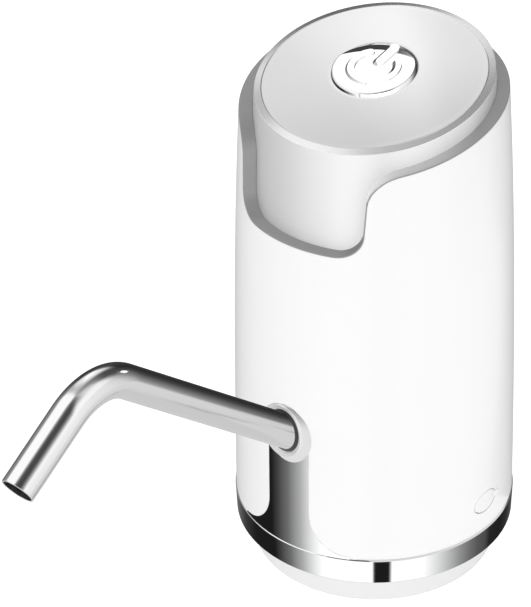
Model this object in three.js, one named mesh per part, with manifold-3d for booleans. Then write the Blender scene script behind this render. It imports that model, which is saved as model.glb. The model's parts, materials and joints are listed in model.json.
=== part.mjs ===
// Electric water jug pump: a battery driven pump that seats on the neck of a large water jug.
// Units are millimetres and +Z is up. The origin is on the body's axis, in the plane of the
// collar's lower edge. The spout leaves the body along -Y and the charging port faces +X.
import * as THREE from 'three';
import { mergeVertices } from 'three/addons/utils/BufferGeometryUtils.js';
import Module from 'manifold-3d';

const wasm = await Module();
wasm.setup();

// Driving dimensions

const gap = 0.3; // clearance between two pieces that touch on the real object
const overrun = 1; // how far a cutter passes the face that it opens

const body = {
  footWall: 2.7, // collar's wall round the neck, at its lower edge
  footRounding: 0.5,
  collarInset: 1.88, // how far the collar stands back under the chrome ring
  ringBottom: 9.4,
  ringTop: 16.7,
  ringProud: 0.22, // how far the chrome ring stands out from the shell
  ringTaper: 0.3, // how much smaller the ring is at its lower edge
  ringChamfer: 0.25,
  ringThickness: 1.5,
  shellDraw: 3.03, // how far the shell draws in at shellDrawHeight
  shellDrawHeight: 123, // height above the shell's lower edge where shellDraw is reached
  shellWall: 2.4,
};

const shellShares = { line: 0.15, curve: 2.6 }; // steady and late part of the draw in, and its power
const screwShares = { headTop: 0.8, headSide: 0.5 }; // of the head's radius and height
const pumpShares = { valveCircle: 0.5, domeCircle: 0.4, screwReach: 0.5 }; // of the pump's size
const boardShares = { tall: 0.25, chip: 0.2 }; // where parts stand on the control board

const socket = {
  neckRadius: 28.4, // hollow that slips over the jug's neck
  depth: 18,
  floor: 2.4,
  leadIn: 0.6, // chamfer at the mouth of the hollow
};

const cut = {
  visorBottom: 106.8, // where the cap shows lowest, above the spout
  visorHalfWidth: 16.8, // along the arc of radius arcRadius
  arcRadius: 30,
  sideSlope: 0.07, // how much the visor's sides lean outwards
  bottomRadius: 6.6,
  shoulderRadius: 9.4,
  ledge: 3.45, // shell's rim, seen from above
  ledgeLip: 2.2, // depth over which the shell is as thick as its rim, below the visor
  sideDrop: 4.4, // from the cap's rim down to the ledge, at the sides
  endDrop: 5.8, // the same at the front and the back
  bandThickness: 0.8, // silver band that caps the shell's edge
};

const cap = {
  rimHeight: 138.05, // outer edge of the bevel, on the axis
  rimInset: 6.3, // from the shell's foot in to the rim
  tilt: 0.173, // rise of the top per millimetre towards the back
  bevelWidth: 1.83,
  bevelRise: 0.42,
  wall: 2,
  skirtBottom: 102,
  shelfWidth: 2.4,
  shelfThickness: 2,
};

const panel = {
  thickness: 2,
  edgeRounding: 0.35,
  sunk: 0.08, // how far the panel lies below the bevel's inner edge
  dome: 1.9, // how far its middle stands above its edge
  domeRings: 8,
};

const button = {
  radius: 10.6,
  proud: 2.75, // above the level of the panel's edge
  edgeRounding: 0.5,
  flange: 1.1, // how much wider its foot is than its face
  flangeThickness: 0.9,
  stemRadius: 1.7,
  stemLength: 1.8,
  travel: 0.8,
  guideWall: 1.3,
  guideDepth: 4.2,
  symbolRise: 0.45,
  symbolInner: 4.5,
  symbolOuter: 6.75,
  symbolGap: 0.79, // half angle of the opening in the ring, in radians
  barWidth: 2.5,
  barInner: 1.1, // from the centre to the bar's inner end
  barOuter: 9.8,
};

const switchGear = {
  bodyWidth: 6,
  bodyHeight: 3.5,
  plungerRadius: 1.75,
  plungerRise: 1.1,
  plungerBore: 2.6,
  boardRadius: 18.2,
  boardThickness: 1.6,
  postRadius: 2.4,
  postCircle: 15.6,
  screwRadius: 0.9,
  screwHeadRadius: 2.1,
  screwHeadHeight: 1.3,
  screwLength: 5,
  posts: 3,
};

const spout = {
  rise: 38.7, // degrees above level, leaving the body
  fall: 31.2, // degrees below level, at the tip
  exitHeight: 51.7, // where its axis crosses the shell's surface
  reach: 89.5, // along the rising leg, from the shell's surface to the corner
  drop: 33.8, // along the falling leg, from the corner to the tip
  bendRadius: 18,
  radius: 4.35,
  wall: 0.5,
  insertion: 10.3,
};

const outlet = {
  bushWall: 0.8,
  socketWall: 1.6,
  socketBottom: 1.5,
  tailRadius: 2.9,
  tailBore: 1.9,
  tailLength: 6,
  bezelWall: 1,
  bezelHalfWidth: 7.15,
  bezelHalfHeight: 8.3,
  bezelDrop: 0.8, // from the spout's axis down to the middle of the bezel's foot
  bezelProud: 2.15,
  bezelFaceHalfWidth: 6.25,
  bezelFaceHalfHeight: 7.75,
  bezelFaceRise: 1.4, // from the spout's axis up to the middle of the bezel's face
  bezelRounding: 0.55,
  bezelDepth: 6.9, // how deep the bezel's sleeve reaches in from the shell's surface
};

const strip = {
  halfWidth: 6.5,
  fillet: 11,
  filletFoot: 17.3, // height where the fillets run out along the ring
  topDrop: 3.2, // from the spout's axis down to the strip's upper end
  depth: 0.9, // thickness let into the shell
  proud: 0.06,
};

const port = {
  height: 25.2,
  halfWidth: 4.7,
  halfHeight: 3.2,
  coverThickness: 1.3,
  coverTaper: 0.8,
};

const usb = {
  width: 8.9,
  height: 3.2,
  length: 7.3,
  wall: 0.35,
  setback: 0.5,
  tongueWidth: 6.6,
  tongueHeight: 0.7,
};

const chargeBoard = { length: 11, width: 15, thickness: 1.6, inset: 2 };

const legs = { radius: 3, circle: 19.5, bore: 1.1, boreDepth: 10, count: 4 };

const screw = { radius: 0.95, headRadius: 2.6, headHeight: 1.6, length: 12 };

const nipple = {
  bore: 1.9,
  radius: 2.9,
  flangeRadius: 6,
  flangeThickness: 1.6,
  sealThickness: 1,
  innerLength: 5,
  outerLength: 10,
  nutRadius: 6.4,
  nutThickness: 2.4,
  ridge: 0.5,
};

const gasket = { width: 5, thickness: 2 };

const pump = {
  radius: 12.5,
  coverBottom: 36,
  coverHeight: 6,
  valveHeight: 3,
  membraneHeight: 3,
  housingHeight: 13,
  housingWall: 2.4,
  portRadius: 2.9,
  portBore: 1.9,
  portLength: 5,
  screwRadius: 0.8,
  screwCircle: 10.6,
  screwHeadRadius: 1.5,
  screwHeadHeight: 1.2,
  screws: 4,
};

const motor = {
  radius: 12,
  canHeight: 30,
  canWall: 1.2,
  rotorRadius: 8.6,
  rotorHeight: 20,
  capHeight: 3,
  bossRadius: 4,
  bossHeight: 2,
  shaftRadius: 1,
  shaftReach: 7,
  camRadius: 6,
  camHeight: 3.4,
  camOffset: 1.4,
  terminalWidth: 2.4,
  terminalHeight: 4,
  terminalThickness: 0.5,
  terminalOffset: 6.5,
};

const hose = { outer: 4.2, inner: 3.2 };

const battery = {
  radius: 9.2,
  height: 65,
  wallGap: 1.88, // between the cell and the shell's wall
  motorGap: 1.4,
  buttonRadius: 3,
  buttonHeight: 1,
  seatHeight: 3.3,
  padHeight: 4,
  padRadius: 6,
};

const frame = {
  deckThickness: 2.4,
  lowerDeck: 65,
  upperDeck: 104,
  lowerInset: 5.08, // from the shell's foot in to the lower deck
  upperInset: 8.08,
  wireHole: 8,
};

const board = {
  width: 34,
  depth: 26,
  thickness: 1.6,
  standoff: 3,
  standoffRadius: 2.2,
  capRadius: 3,
  capHeight: 8,
  plugWidth: 7.5,
  plugDepth: 5.8,
  plugHeight: 7,
  plugOffset: 11,
  driverWidth: 6.5,
  driverHeight: 2.3,
};

const fineness = { large: 48, medium: 20, hose: 16, small: 12, tiny: 6 };
const edgeSteps = { flat: 3, corner: 5, shoulder: 6, back: 14 };
const settleRounds = 60; // passes that settle the shoulder's arc on the edge

// Derived sizes

const footRadius = socket.neckRadius + body.footWall;
const cellOffset = motor.radius + battery.motorGap + battery.radius;
const shellRadius = cellOffset + battery.radius + battery.wallGap + body.shellWall; // at its lower edge
const ringRadius = shellRadius + body.ringProud;
const rimRadius = shellRadius - cap.rimInset;
const bevelRadius = rimRadius - cap.bevelWidth;
const bezelCentre = spout.exitHeight - outlet.bezelDrop;
const bezelFaceCentre = spout.exitHeight + outlet.bezelFaceRise;
const stripTop = spout.exitHeight - strip.topDrop;
const ringFoot = body.ringTop + gap; // lower edge of the shell
const tiltAngle = Math.atan(cap.tilt);
const riseAngle = THREE.MathUtils.degToRad(spout.rise);
const bendAngle = THREE.MathUtils.degToRad(spout.rise + spout.fall);
const outletTurn = Math.PI / 2 - riseAngle;
const floorBottom = socket.depth;
const floorTop = socket.depth + socket.floor;
const panelHeight = cap.rimHeight + cap.bevelRise - panel.sunk;

// Outer radius of the shell at a height.
function shellRadiusAt(z) {
  const share = (z - ringFoot) / body.shellDrawHeight;
  const late = Math.pow(Math.max(share, 0), shellShares.curve);
  return shellRadius - body.shellDraw * (shellShares.line * share + (1 - shellShares.line) * late);
}

// Radius of the cap's side, which runs parallel to the shell.
function capRadiusAt(z) {
  return shellRadiusAt(z) - cut.ledge;
}

// Height of the cap's top, for a surface that is at height z on the axis.
function slanted(z, radius, angle) {
  return z - cap.tilt * radius * Math.cos(angle);
}

// Radius of the cap's side at a height and an angle, eased so that it ends at the rim.
function capSideAt(z, angle) {
  const rim = slanted(cap.rimHeight, rimRadius, angle);
  const share = (z - cap.skirtBottom) / (rim - cap.skirtBottom);
  return capRadiusAt(z) + (rimRadius - capRadiusAt(rim)) * share;
}

// Geometry helpers

function positionsOnly(geometry) {
  const plain = geometry.clone();
  for (const name of Object.keys(plain.attributes)) {
    if (name !== 'position') plain.deleteAttribute(name);
  }
  return mergeVertices(plain, 1e-4);
}

// Drops collapsed triangles, and turns the faces outwards where they point in.
function closedBody(geometry) {
  const merged = positionsOnly(geometry);
  const place = merged.getAttribute('position');
  const index = merged.getIndex().array;
  const kept = [];
  const corners = [new THREE.Vector3(), new THREE.Vector3(), new THREE.Vector3()];
  let volume = 0;
  for (let i = 0; i < index.length; i += 3) {
    const [a, b, c] = [index[i], index[i + 1], index[i + 2]];
    if (a === b || b === c || c === a) continue;
    [a, b, c].forEach((v, k) => corners[k].fromBufferAttribute(place, v));
    volume += corners[0].dot(corners[1].clone().cross(corners[2]));
    kept.push(a, b, c);
  }
  if (volume < 0) {
    for (let i = 0; i < kept.length; i += 3) [kept[i + 1], kept[i + 2]] = [kept[i + 2], kept[i + 1]];
  }
  merged.setIndex(kept);
  return merged;
}

function toSolid(geometry) {
  const closed = closedBody(geometry);
  const vertProperties = new Float32Array(closed.getAttribute('position').array);
  const triVerts = new Uint32Array(closed.getIndex().array);
  return new wasm.Manifold(new wasm.Mesh({ numProp: 3, vertProperties, triVerts }));
}

function toGeometry(solid) {
  const mesh = solid.getMesh();
  const geometry = new THREE.BufferGeometry();
  geometry.setAttribute('position', new THREE.Float32BufferAttribute(mesh.vertProperties, 3));
  geometry.setIndex(Array.from(mesh.triVerts));
  return geometry;
}

function combined(method, first, others) {
  const solid = others.flat().reduce((all, next) => all[method](toSolid(next)), toSolid(first));
  return toGeometry(solid);
}

const join = (first, ...others) => combined('add', first, others);
const cutAway = (first, ...others) => combined('subtract', first, others);
const common = (first, ...others) => combined('intersect', first, others);

function moved(geometry, x = 0, y = 0, z = 0) {
  return geometry.clone().translate(x, y, z);
}

// A rod along +Z that starts at z = 0.
function rod(radius, length, sides = fineness.small) {
  return new THREE.CylinderGeometry(radius, radius, length, sides)
    .rotateX(Math.PI / 2)
    .translate(0, 0, length / 2);
}

// A tube along +Z that starts at z = 0, open at both ends.
function pipe(outer, inner, length, sides = fineness.small) {
  return turned([[inner, 0], [outer, 0], [outer, length], [inner, length], [inner, 0]], sides);
}

// A block centred on the Z axis that starts at z = 0.
function block(width, depth, height) {
  return new THREE.BoxGeometry(width, depth, height).translate(0, 0, height / 2);
}

// A profile of [radius, height] pairs turned round the Z axis.
function turned(profile, sides = fineness.large) {
  const points = profile.map(([r, z]) => new THREE.Vector2(r, z));
  return new THREE.LatheGeometry(points, sides).rotateX(Math.PI / 2);
}

// A solid through a list of like sections. A closed loft joins its last section to its first,
// and an open one is closed by a flat face at each end.
function loft(sections, closed) {
  const size = sections[0].length;
  const place = sections.flat().flatMap((p) => [p.x, p.y, p.z]);
  const index = [];
  const bands = closed ? sections.length : sections.length - 1;
  for (let i = 0; i < bands; i += 1) {
    const near = i * size;
    const far = ((i + 1) % sections.length) * size;
    for (let j = 0; j < size; j += 1) {
      const k = (j + 1) % size;
      index.push(near + j, far + j, far + k, near + j, far + k, near + k);
    }
  }
  if (!closed) {
    const last = (sections.length - 1) * size;
    const flat = (section) => section.map((p) => new THREE.Vector2(p.x, p.y));
    const bottom = THREE.ShapeUtils.triangulateShape(flat(sections[0]), []);
    const top = THREE.ShapeUtils.triangulateShape(flat(sections[sections.length - 1]), []);
    const turn = THREE.ShapeUtils.isClockWise(flat(sections[0]));
    for (const [a, b, c] of bottom) index.push(...(turn ? [a, c, b] : [a, b, c]));
    for (const [a, b, c] of top) {
      index.push(last + a, ...(turn ? [last + b, last + c] : [last + c, last + b]));
    }
  }
  const geometry = new THREE.BufferGeometry();
  geometry.setAttribute('position', new THREE.Float32BufferAttribute(place, 3));
  geometry.setIndex(index);
  return geometry;
}

// A ring round the Z axis whose section changes with the angle from the spout's side.
function ringLoft(angles, sectionAt) {
  const sections = angles.map((angle) => sectionAt(angle).map(
    ([r, z]) => new THREE.Vector3(r * Math.sin(angle), -r * Math.cos(angle), z),
  ));
  return loft(sections, true);
}

function evenAngles(count) {
  return Array.from({ length: count }, (_, i) => (i / count) * 2 * Math.PI);
}

// Ellipse in a level or upright plane, as points.
function ellipse(count, pointAt) {
  return evenAngles(count).map((a) => pointAt(Math.cos(a), Math.sin(a)));
}

// A prism of an outline in XY, from z = 0 upwards.
function prism(shape, height, curveSegments = fineness.tiny) {
  return new THREE.ExtrudeGeometry(shape, { depth: height, bevelEnabled: false, curveSegments });
}

function circlePath(radius, PathClass = THREE.Shape) {
  const path = new PathClass();
  path.absarc(0, 0, radius, 0, 2 * Math.PI, false);
  return path;
}

// A path through stations, each with its own direction, sampled exactly at the stations.
class Run extends THREE.Curve {
  constructor(stations) {
    super();
    this.stations = stations;
  }

  getUtoTmapping(u) {
    return u;
  }

  blend(t, key, target) {
    const span = t * (this.stations.length - 1);
    const i = Math.min(Math.floor(span + 1e-9), this.stations.length - 2);
    return target.lerpVectors(this.stations[i][key], this.stations[i + 1][key], span - i);
  }

  getPoint(t, target = new THREE.Vector3()) {
    return this.blend(t, 'point', target);
  }

  getTangent(t, target = new THREE.Vector3()) {
    return this.blend(t, 'direction', target).normalize();
  }
}

// Stations of a path with rounded corners: straight runs between arcs, in any plane.
function roundedRun(points, radius, steps) {
  const stations = [];
  const first = points[1].clone().sub(points[0]).normalize();
  stations.push({ point: points[0].clone(), direction: first });
  for (let i = 1; i < points.length - 1; i += 1) {
    const into = points[i].clone().sub(points[i - 1]).normalize();
    const out = points[i + 1].clone().sub(points[i]).normalize();
    const turn = into.angleTo(out);
    const setback = radius * Math.tan(turn / 2);
    const axis = into.clone().cross(out).normalize();
    const start = points[i].clone().addScaledVector(into, -setback);
    const centre = start.clone().addScaledVector(axis.clone().cross(into), radius);
    for (let k = 0; k <= steps; k += 1) {
      const angle = (turn * k) / steps;
      const arm = start.clone().sub(centre).applyAxisAngle(axis, angle);
      stations.push({ point: centre.clone().add(arm), direction: into.clone().applyAxisAngle(axis, angle) });
    }
  }
  const last = points[points.length - 1];
  const final = last.clone().sub(points[points.length - 2]).normalize();
  stations.push({ point: last.clone(), direction: final });
  return new Run(stations);
}

// A round tube or wire along a path.
function along(run, outer, inner, sides) {
  const shape = circlePath(outer);
  if (inner > 0) shape.holes.push(circlePath(inner, THREE.Path));
  return new THREE.ExtrudeGeometry(shape, {
    steps: run.stations.length - 1,
    curveSegments: sides / 2,
    extrudePath: run,
  });
}

// Materials and the scene graph

const finishes = {
  whiteGloss: new THREE.MeshStandardMaterial({ color: 0xf6f6f6, roughness: 0.22, metalness: 0 }),
  whitePlain: new THREE.MeshStandardMaterial({ color: 0xe9e9e7, roughness: 0.5, metalness: 0 }),
  silverSatin: new THREE.MeshStandardMaterial({ color: 0xd9dadb, roughness: 0.35, metalness: 0.3 }),
  chrome: new THREE.MeshStandardMaterial({ color: 0xe6e8ea, roughness: 0.06, metalness: 1 }),
  steel: new THREE.MeshStandardMaterial({ color: 0xc4c6c8, roughness: 0.2, metalness: 1 }),
  silicone: new THREE.MeshStandardMaterial({ color: 0xf0f0ee, roughness: 0.6, metalness: 0 }),
  rubber: new THREE.MeshStandardMaterial({ color: 0x2a2a2c, roughness: 0.8, metalness: 0 }),
  darkPlastic: new THREE.MeshStandardMaterial({ color: 0x26272a, roughness: 0.5, metalness: 0 }),
  circuit: new THREE.MeshStandardMaterial({ color: 0x1f6b3c, roughness: 0.5, metalness: 0 }),
  cellWrap: new THREE.MeshStandardMaterial({ color: 0x2f6fb3, roughness: 0.4, metalness: 0 }),
  foam: new THREE.MeshStandardMaterial({ color: 0x3a3a3a, roughness: 0.95, metalness: 0 }),
};

const jugPump = new THREE.Group();
const head = new THREE.Group(); // carries what lies square to the slanted top
head.position.set(0, 0, panelHeight);
head.rotation.x = tiltAngle;
const exit = new THREE.Group(); // its +Z runs out along the spout's rising leg
exit.position.set(0, -shellRadius, spout.exitHeight);
exit.rotation.x = outletTurn;
jugPump.add(head, exit);
jugPump.updateMatrixWorld(true);

function add(name, geometry, finish, parent = jugPump) {
  const mesh = new THREE.Mesh(closedBody(geometry), finish);
  mesh.name = name;
  parent.add(mesh);
  return mesh;
}

const inBody = (geometry, group) => geometry.clone().applyMatrix4(group.matrixWorld);

// Outline of the shell's upper edge

function dropAt(angle) {
  const share = Math.cos(angle) ** 2;
  return cut.sideDrop + (cut.endDrop - cut.sideDrop) * share;
}

function ledgeHeight(arc) {
  const angle = arc / cut.arcRadius;
  return slanted(cap.rimHeight, rimRadius, angle) - dropAt(angle);
}

function ledgeSlope(arc) {
  return (ledgeHeight(arc + gap) - ledgeHeight(arc - gap)) / (2 * gap);
}

// Centre of the shoulder's arc, which touches the visor's side and the ledge.
function shoulderCentre(stretch) {
  const sideAt = (z) => cut.visorHalfWidth + cut.sideSlope * (z - cut.visorBottom);
  let z = cut.visorBottom + cut.shoulderRadius;
  let arc = 0;
  for (let i = 0; i < settleRounds; i += 1) {
    arc = sideAt(z) + cut.shoulderRadius * stretch;
    z += (ledgeHeight(arc) - cut.shoulderRadius * Math.hypot(1, ledgeSlope(arc)) - z) / 2;
  }
  return { arc, z, slope: ledgeSlope(arc) };
}

// Points [arc, height] all round the edge from the spout's side, moved down into the wall by inset.
function edgeOutline(inset) {
  const stretch = Math.hypot(1, cut.sideSlope);
  const lean = Math.atan(cut.sideSlope);
  const points = [];
  const arm = (arc, z, radius, a) => [arc + radius * Math.cos(a), z + radius * Math.sin(a)];
  const cornerArc = cut.visorHalfWidth + (cut.sideSlope - stretch) * cut.bottomRadius;
  const cornerHeight = cut.visorBottom + cut.bottomRadius;
  for (let i = 0; i < edgeSteps.flat; i += 1) {
    points.push([(cornerArc * i) / edgeSteps.flat, cut.visorBottom - inset]);
  }
  for (let i = 0; i <= edgeSteps.corner; i += 1) {
    const a = -Math.PI / 2 + ((Math.PI / 2 - lean) * i) / edgeSteps.corner;
    points.push(arm(cornerArc, cornerHeight, cut.bottomRadius + inset, a));
  }
  const shoulder = shoulderCentre(stretch);
  const sweepFrom = Math.PI - lean;
  const sweepTo = Math.PI / 2 + Math.atan(shoulder.slope);
  for (let i = 0; i <= edgeSteps.shoulder; i += 1) {
    const a = sweepFrom + ((sweepTo - sweepFrom) * i) / edgeSteps.shoulder;
    points.push(arm(shoulder.arc, shoulder.z, cut.shoulderRadius - inset, a));
  }
  const from = points[points.length - 1][0];
  const to = cut.arcRadius * Math.PI;
  for (let i = 1; i <= edgeSteps.back; i += 1) {
    const arc = from + ((to - from) * i) / edgeSteps.back;
    points.push([arc, ledgeHeight(arc) - inset * Math.hypot(1, ledgeSlope(arc))]);
  }
  const mirrored = points.slice(1, -1).reverse().map(([arc, z]) => [-arc, z]);
  return [...points, ...mirrored];
}

// Outer shell with the recesses for the chrome strip, the outlet and the charging port

function shellBlank() {
  const edge = edgeOutline(cut.bandThickness + gap);
  const heights = new Map(edge.map(([arc, z]) => [arc / cut.arcRadius, z]));
  const rows = 5;
  const lipBottom = cut.visorBottom - cut.ledgeLip;
  const lipFoot = lipBottom - (cut.ledge - body.shellWall);
  return ringLoft([...heights.keys()], (angle) => {
    const top = heights.get(angle);
    const section = [];
    for (let i = 0; i <= rows; i += 1) {
      const z = ringFoot + ((top - ringFoot) * i) / rows;
      section.push([shellRadiusAt(z), z]);
    }
    const lipRows = 1;
    for (let i = 0; i <= lipRows; i += 1) {
      const z = top + ((lipBottom - top) * i) / lipRows;
      section.push([capSideAt(z, angle) + gap, z]);
    }
    const wallRows = 2;
    for (let i = 0; i <= wallRows; i += 1) {
      const z = lipFoot + ((ringFoot - lipFoot) * i) / wallRows;
      section.push([shellRadiusAt(z) - body.shellWall, z]);
    }
    return section;
  });
}

// Half width of the strip at a height: fillets at its foot, then straight sides.
function stripHalfWidth(z) {
  const rise = Math.min(Math.max(z - strip.filletFoot, 0), strip.fillet);
  const fall = strip.fillet - rise;
  return strip.halfWidth + strip.fillet - Math.sqrt(strip.fillet ** 2 - fall ** 2);
}

// The plate that rises from the ring to the outlet, wrapped on the shell.
function stripPlate(from, to, outwards, inwards, margin) {
  const rows = [from];
  const filletRows = 5;
  for (let i = 0; i <= filletRows; i += 1) {
    const share = 1 - Math.cos((i / filletRows) * (Math.PI / 2));
    rows.push(strip.filletFoot + strip.fillet * share);
  }
  rows.push(to);
  const columns = 8;
  const sections = rows.map((z) => {
    const half = stripHalfWidth(z) + margin;
    const points = [];
    for (let side = 0; side < 2; side += 1) {
      for (let i = 0; i <= columns; i += 1) {
        const share = side === 0 ? (2 * i) / columns - 1 : 1 - (2 * i) / columns;
        const angle = (share * half) / shellRadius;
        const r = shellRadiusAt(Math.max(z, ringFoot)) + (side === 0 ? outwards : -inwards);
        points.push(new THREE.Vector3(r * Math.sin(angle), -r * Math.cos(angle), z));
      }
    }
    return points;
  });
  return loft(sections, false);
}

// A round cutter or piece on the outlet's inclined axis, from one station to another.
function onExitAxis(radius, from, to, sides = fineness.medium) {
  return inBody(moved(rod(radius, to - from, sides), 0, 0, from), exit);
}

const sleeveRadius = spout.radius + gap + outlet.bezelWall + gap;
const boreRadius = spout.radius + 2 * gap;

// An oval prism along +X, at the charging port.
function portOval(halfWidth, halfHeight, from, to) {
  const outline = (x) => ellipse(fineness.small, (c, s) => new THREE.Vector3(c * halfWidth, s * halfHeight, x));
  return loft([outline(from), outline(to)], false)
    .rotateX(Math.PI / 2)
    .rotateZ(Math.PI / 2)
    .translate(0, 0, port.height);
}

const shellReach = shellRadius + overrun;
add('outer_shell', cutAway(
  shellBlank(),
  stripPlate(ringFoot - overrun, stripTop + gap, overrun, strip.depth + gap, gap),
  onExitAxis(sleeveRadius + gap, -spout.insertion - overrun, spout.insertion),
  portOval(port.halfWidth, port.halfHeight, shellRadius / 2, shellReach),
), finishes.whiteGloss);

// Silver band on the shell's edge, as wide as the ledge round the cap

function edgeBand() {
  const upper = edgeOutline(0);
  const lower = edgeOutline(cut.bandThickness);
  const place = ([arc, z], inner) => {
    const angle = arc / cut.arcRadius;
    const r = inner ? capSideAt(z, angle) + gap : shellRadiusAt(z);
    return new THREE.Vector3(r * Math.sin(angle), -r * Math.cos(angle), z);
  };
  const sections = upper.map((top, i) => [
    place(lower[i], false), place(top, false), place(top, true), place(lower[i], true),
  ]);
  return loft(sections, true);
}

add('edge_band', edgeBand(), finishes.silverSatin);

// Base collar: the hollow for the jug's neck below, and the floor of the body above it

function legPlaces() {
  return Array.from({ length: legs.count }, (_, i) => {
    const angle = ((i + 0.5) / legs.count) * 2 * Math.PI;
    return [legs.circle * Math.sin(angle), -legs.circle * Math.cos(angle)];
  });
}

function baseCollar() {
  const seat = ringRadius - body.ringThickness - gap;
  const shellSeat = shellRadius - body.shellWall - gap;
  const profile = [
    [0, floorBottom],
    [socket.neckRadius, floorBottom],
    [socket.neckRadius, socket.leadIn],
    [socket.neckRadius + socket.leadIn, 0],
    [footRadius - body.footRounding, 0],
    [footRadius, body.footRounding],
    [shellRadius - body.collarInset, body.ringBottom - gap],
    [seat, body.ringBottom - gap],
    [seat, body.ringTop],
    [shellSeat, body.ringTop],
    [shellSeat, floorTop],
    [0, floorTop],
  ];
  const cup = pipe(battery.radius, battery.radius / 2, battery.seatHeight);
  const holes = legPlaces().map(([x, y]) => moved(
    rod(screw.radius + gap, socket.floor + 2 * overrun, fineness.tiny), x, y, floorBottom - overrun,
  ));
  const nippleHole = moved(rod(nipple.radius + gap, socket.floor + 2 * overrun), 0, 0, floorBottom - overrun);
  return cutAway(join(turned(profile), moved(cup, 0, cellOffset, floorTop)), nippleHole, ...holes);
}

add('base_collar', baseCollar(), finishes.whiteGloss);

add('neck_gasket', moved(
  pipe(socket.neckRadius - gap, socket.neckRadius - gap - gasket.width, gasket.thickness, fineness.medium),
  0, 0, floorBottom - gap - gasket.thickness,
), finishes.rubber);

// Chrome trim: the ring round the body's foot and the strip up to the outlet, in one piece

function trimRing() {
  const inner = ringRadius - body.ringThickness;
  const ring = turned([
    [inner, body.ringBottom],
    [ringRadius - body.ringTaper, body.ringBottom],
    [ringRadius, body.ringTop - body.ringChamfer],
    [ringRadius - body.ringChamfer, body.ringTop],
    [inner, body.ringTop],
    [inner, body.ringBottom],
  ]);
  const plate = stripPlate(body.ringTop - overrun, stripTop, strip.proud, strip.depth, 0);
  return cutAway(join(ring, plate), onExitAxis(sleeveRadius + gap, -spout.insertion, spout.insertion));
}

add('trim_ring', trimRing(), finishes.chrome);

// Outlet bezel: an eyelet on the shell round the inclined bore, with a sleeve through the wall

function outletBezel() {
  const face = shellRadius + outlet.bezelProud;
  const base = shellRadius - overrun;
  const ring = (w, h, z, t) => ellipse(fineness.medium, (c, s) => new THREE.Vector3(w * c, h * s + z, t));
  const rounded = outlet.bezelRounding;
  const faceWidth = outlet.bezelFaceHalfWidth;
  const faceHeight = outlet.bezelFaceHalfHeight;
  const flange = loft([
    ring(outlet.bezelHalfWidth, outlet.bezelHalfHeight, bezelCentre, base),
    ring(faceWidth + rounded / 2, faceHeight + rounded / 2, bezelFaceCentre - rounded / 2, face - rounded),
    ring(faceWidth - rounded / 2, faceHeight - rounded / 2, bezelFaceCentre, face),
  ], false).rotateX(Math.PI / 2);
  const covered = stripPlateCover();
  const sleeve = onExitAxis(sleeveRadius, -outlet.bezelDepth, overrun);
  const keepIn = turned([
    [0, spout.exitHeight - 2 * outlet.bezelHalfHeight],
    [face, spout.exitHeight - 2 * outlet.bezelHalfHeight],
    [face, spout.exitHeight + 2 * outlet.bezelHalfHeight],
    [0, spout.exitHeight + 2 * outlet.bezelHalfHeight],
  ]);
  const seated = cutAway(flange, covered);
  const bore = onExitAxis(boreRadius, -spout.insertion, 2 * spout.insertion);
  return cutAway(common(join(seated, sleeve), keepIn), bore);
}

// What the bezel's flange sits on: the shell and the strip, with the clearance.
function stripPlateCover() {
  const bottom = spout.exitHeight - 2 * outlet.bezelHalfHeight;
  const top = spout.exitHeight + 2 * outlet.bezelHalfHeight;
  const skin = gap + strip.proud;
  return turned([[0, bottom], [shellRadiusAt(bottom) + skin, bottom], [shellRadiusAt(top) + skin, top], [0, top]]);
}

add('outlet_bezel', outletBezel(), finishes.chrome);

// Spout, its bush and the moulded socket behind the shell

function spoutRun() {
  const corner = new THREE.Vector3(0, 0, spout.reach);
  const down = new THREE.Vector3(0, -Math.sin(bendAngle), Math.cos(bendAngle));
  const start = new THREE.Vector3(0, 0, -spout.insertion);
  const tip = corner.clone().addScaledVector(down, spout.drop);
  return roundedRun([start, corner, tip], spout.bendRadius, 9);
}

const spoutBore = spout.radius - spout.wall;
add('spout_tube', along(spoutRun(), spout.radius, spoutBore, fineness.small), finishes.steel, exit);

const bushRadius = spout.radius + gap + outlet.bushWall;
const socketRadius = bushRadius + gap + outlet.socketWall;
const socketEnd = -spout.insertion - gap; // where the spout's inner end stops

// The room inside the shell, with the clearance to its wall.
function shellRoom() {
  const wall = body.shellWall + gap;
  const heights = [floorTop, spout.exitHeight, frame.lowerDeck];
  const side = heights.map((z) => [shellRadiusAt(z) - wall, z]);
  return turned([[0, floorTop], ...side, [0, frame.lowerDeck]]);
}

// How far out the bush reaches before the sleeve of the bezel.
const bushTop = -outlet.bezelDepth - gap;

function spoutBush() {
  return moved(pipe(bushRadius, spout.radius + gap, bushTop - socketEnd), 0, 0, socketEnd);
}

add('spout_bush', spoutBush(), finishes.silicone, exit);

function spoutSocket() {
  const bottom = socketEnd - gap - outlet.socketBottom;
  const outside = join(
    onExitAxis(socketRadius, bottom, 0),
    onExitAxis(outlet.tailRadius, bottom - outlet.tailLength, bottom + outlet.socketBottom / 2, fineness.small),
  );
  const trimmed = common(outside, shellRoom());
  return cutAway(
    trimmed,
    onExitAxis(bushRadius + gap, socketEnd - gap, overrun),
    onExitAxis(outlet.tailBore, bottom - outlet.tailLength - overrun, socketEnd, fineness.small),
    onExitAxis(sleeveRadius + gap, bushTop - gap, overrun),
  );
}

add('spout_socket', spoutSocket(), finishes.whitePlain);

// Cap with the slanted top, and the panel let into it

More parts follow.
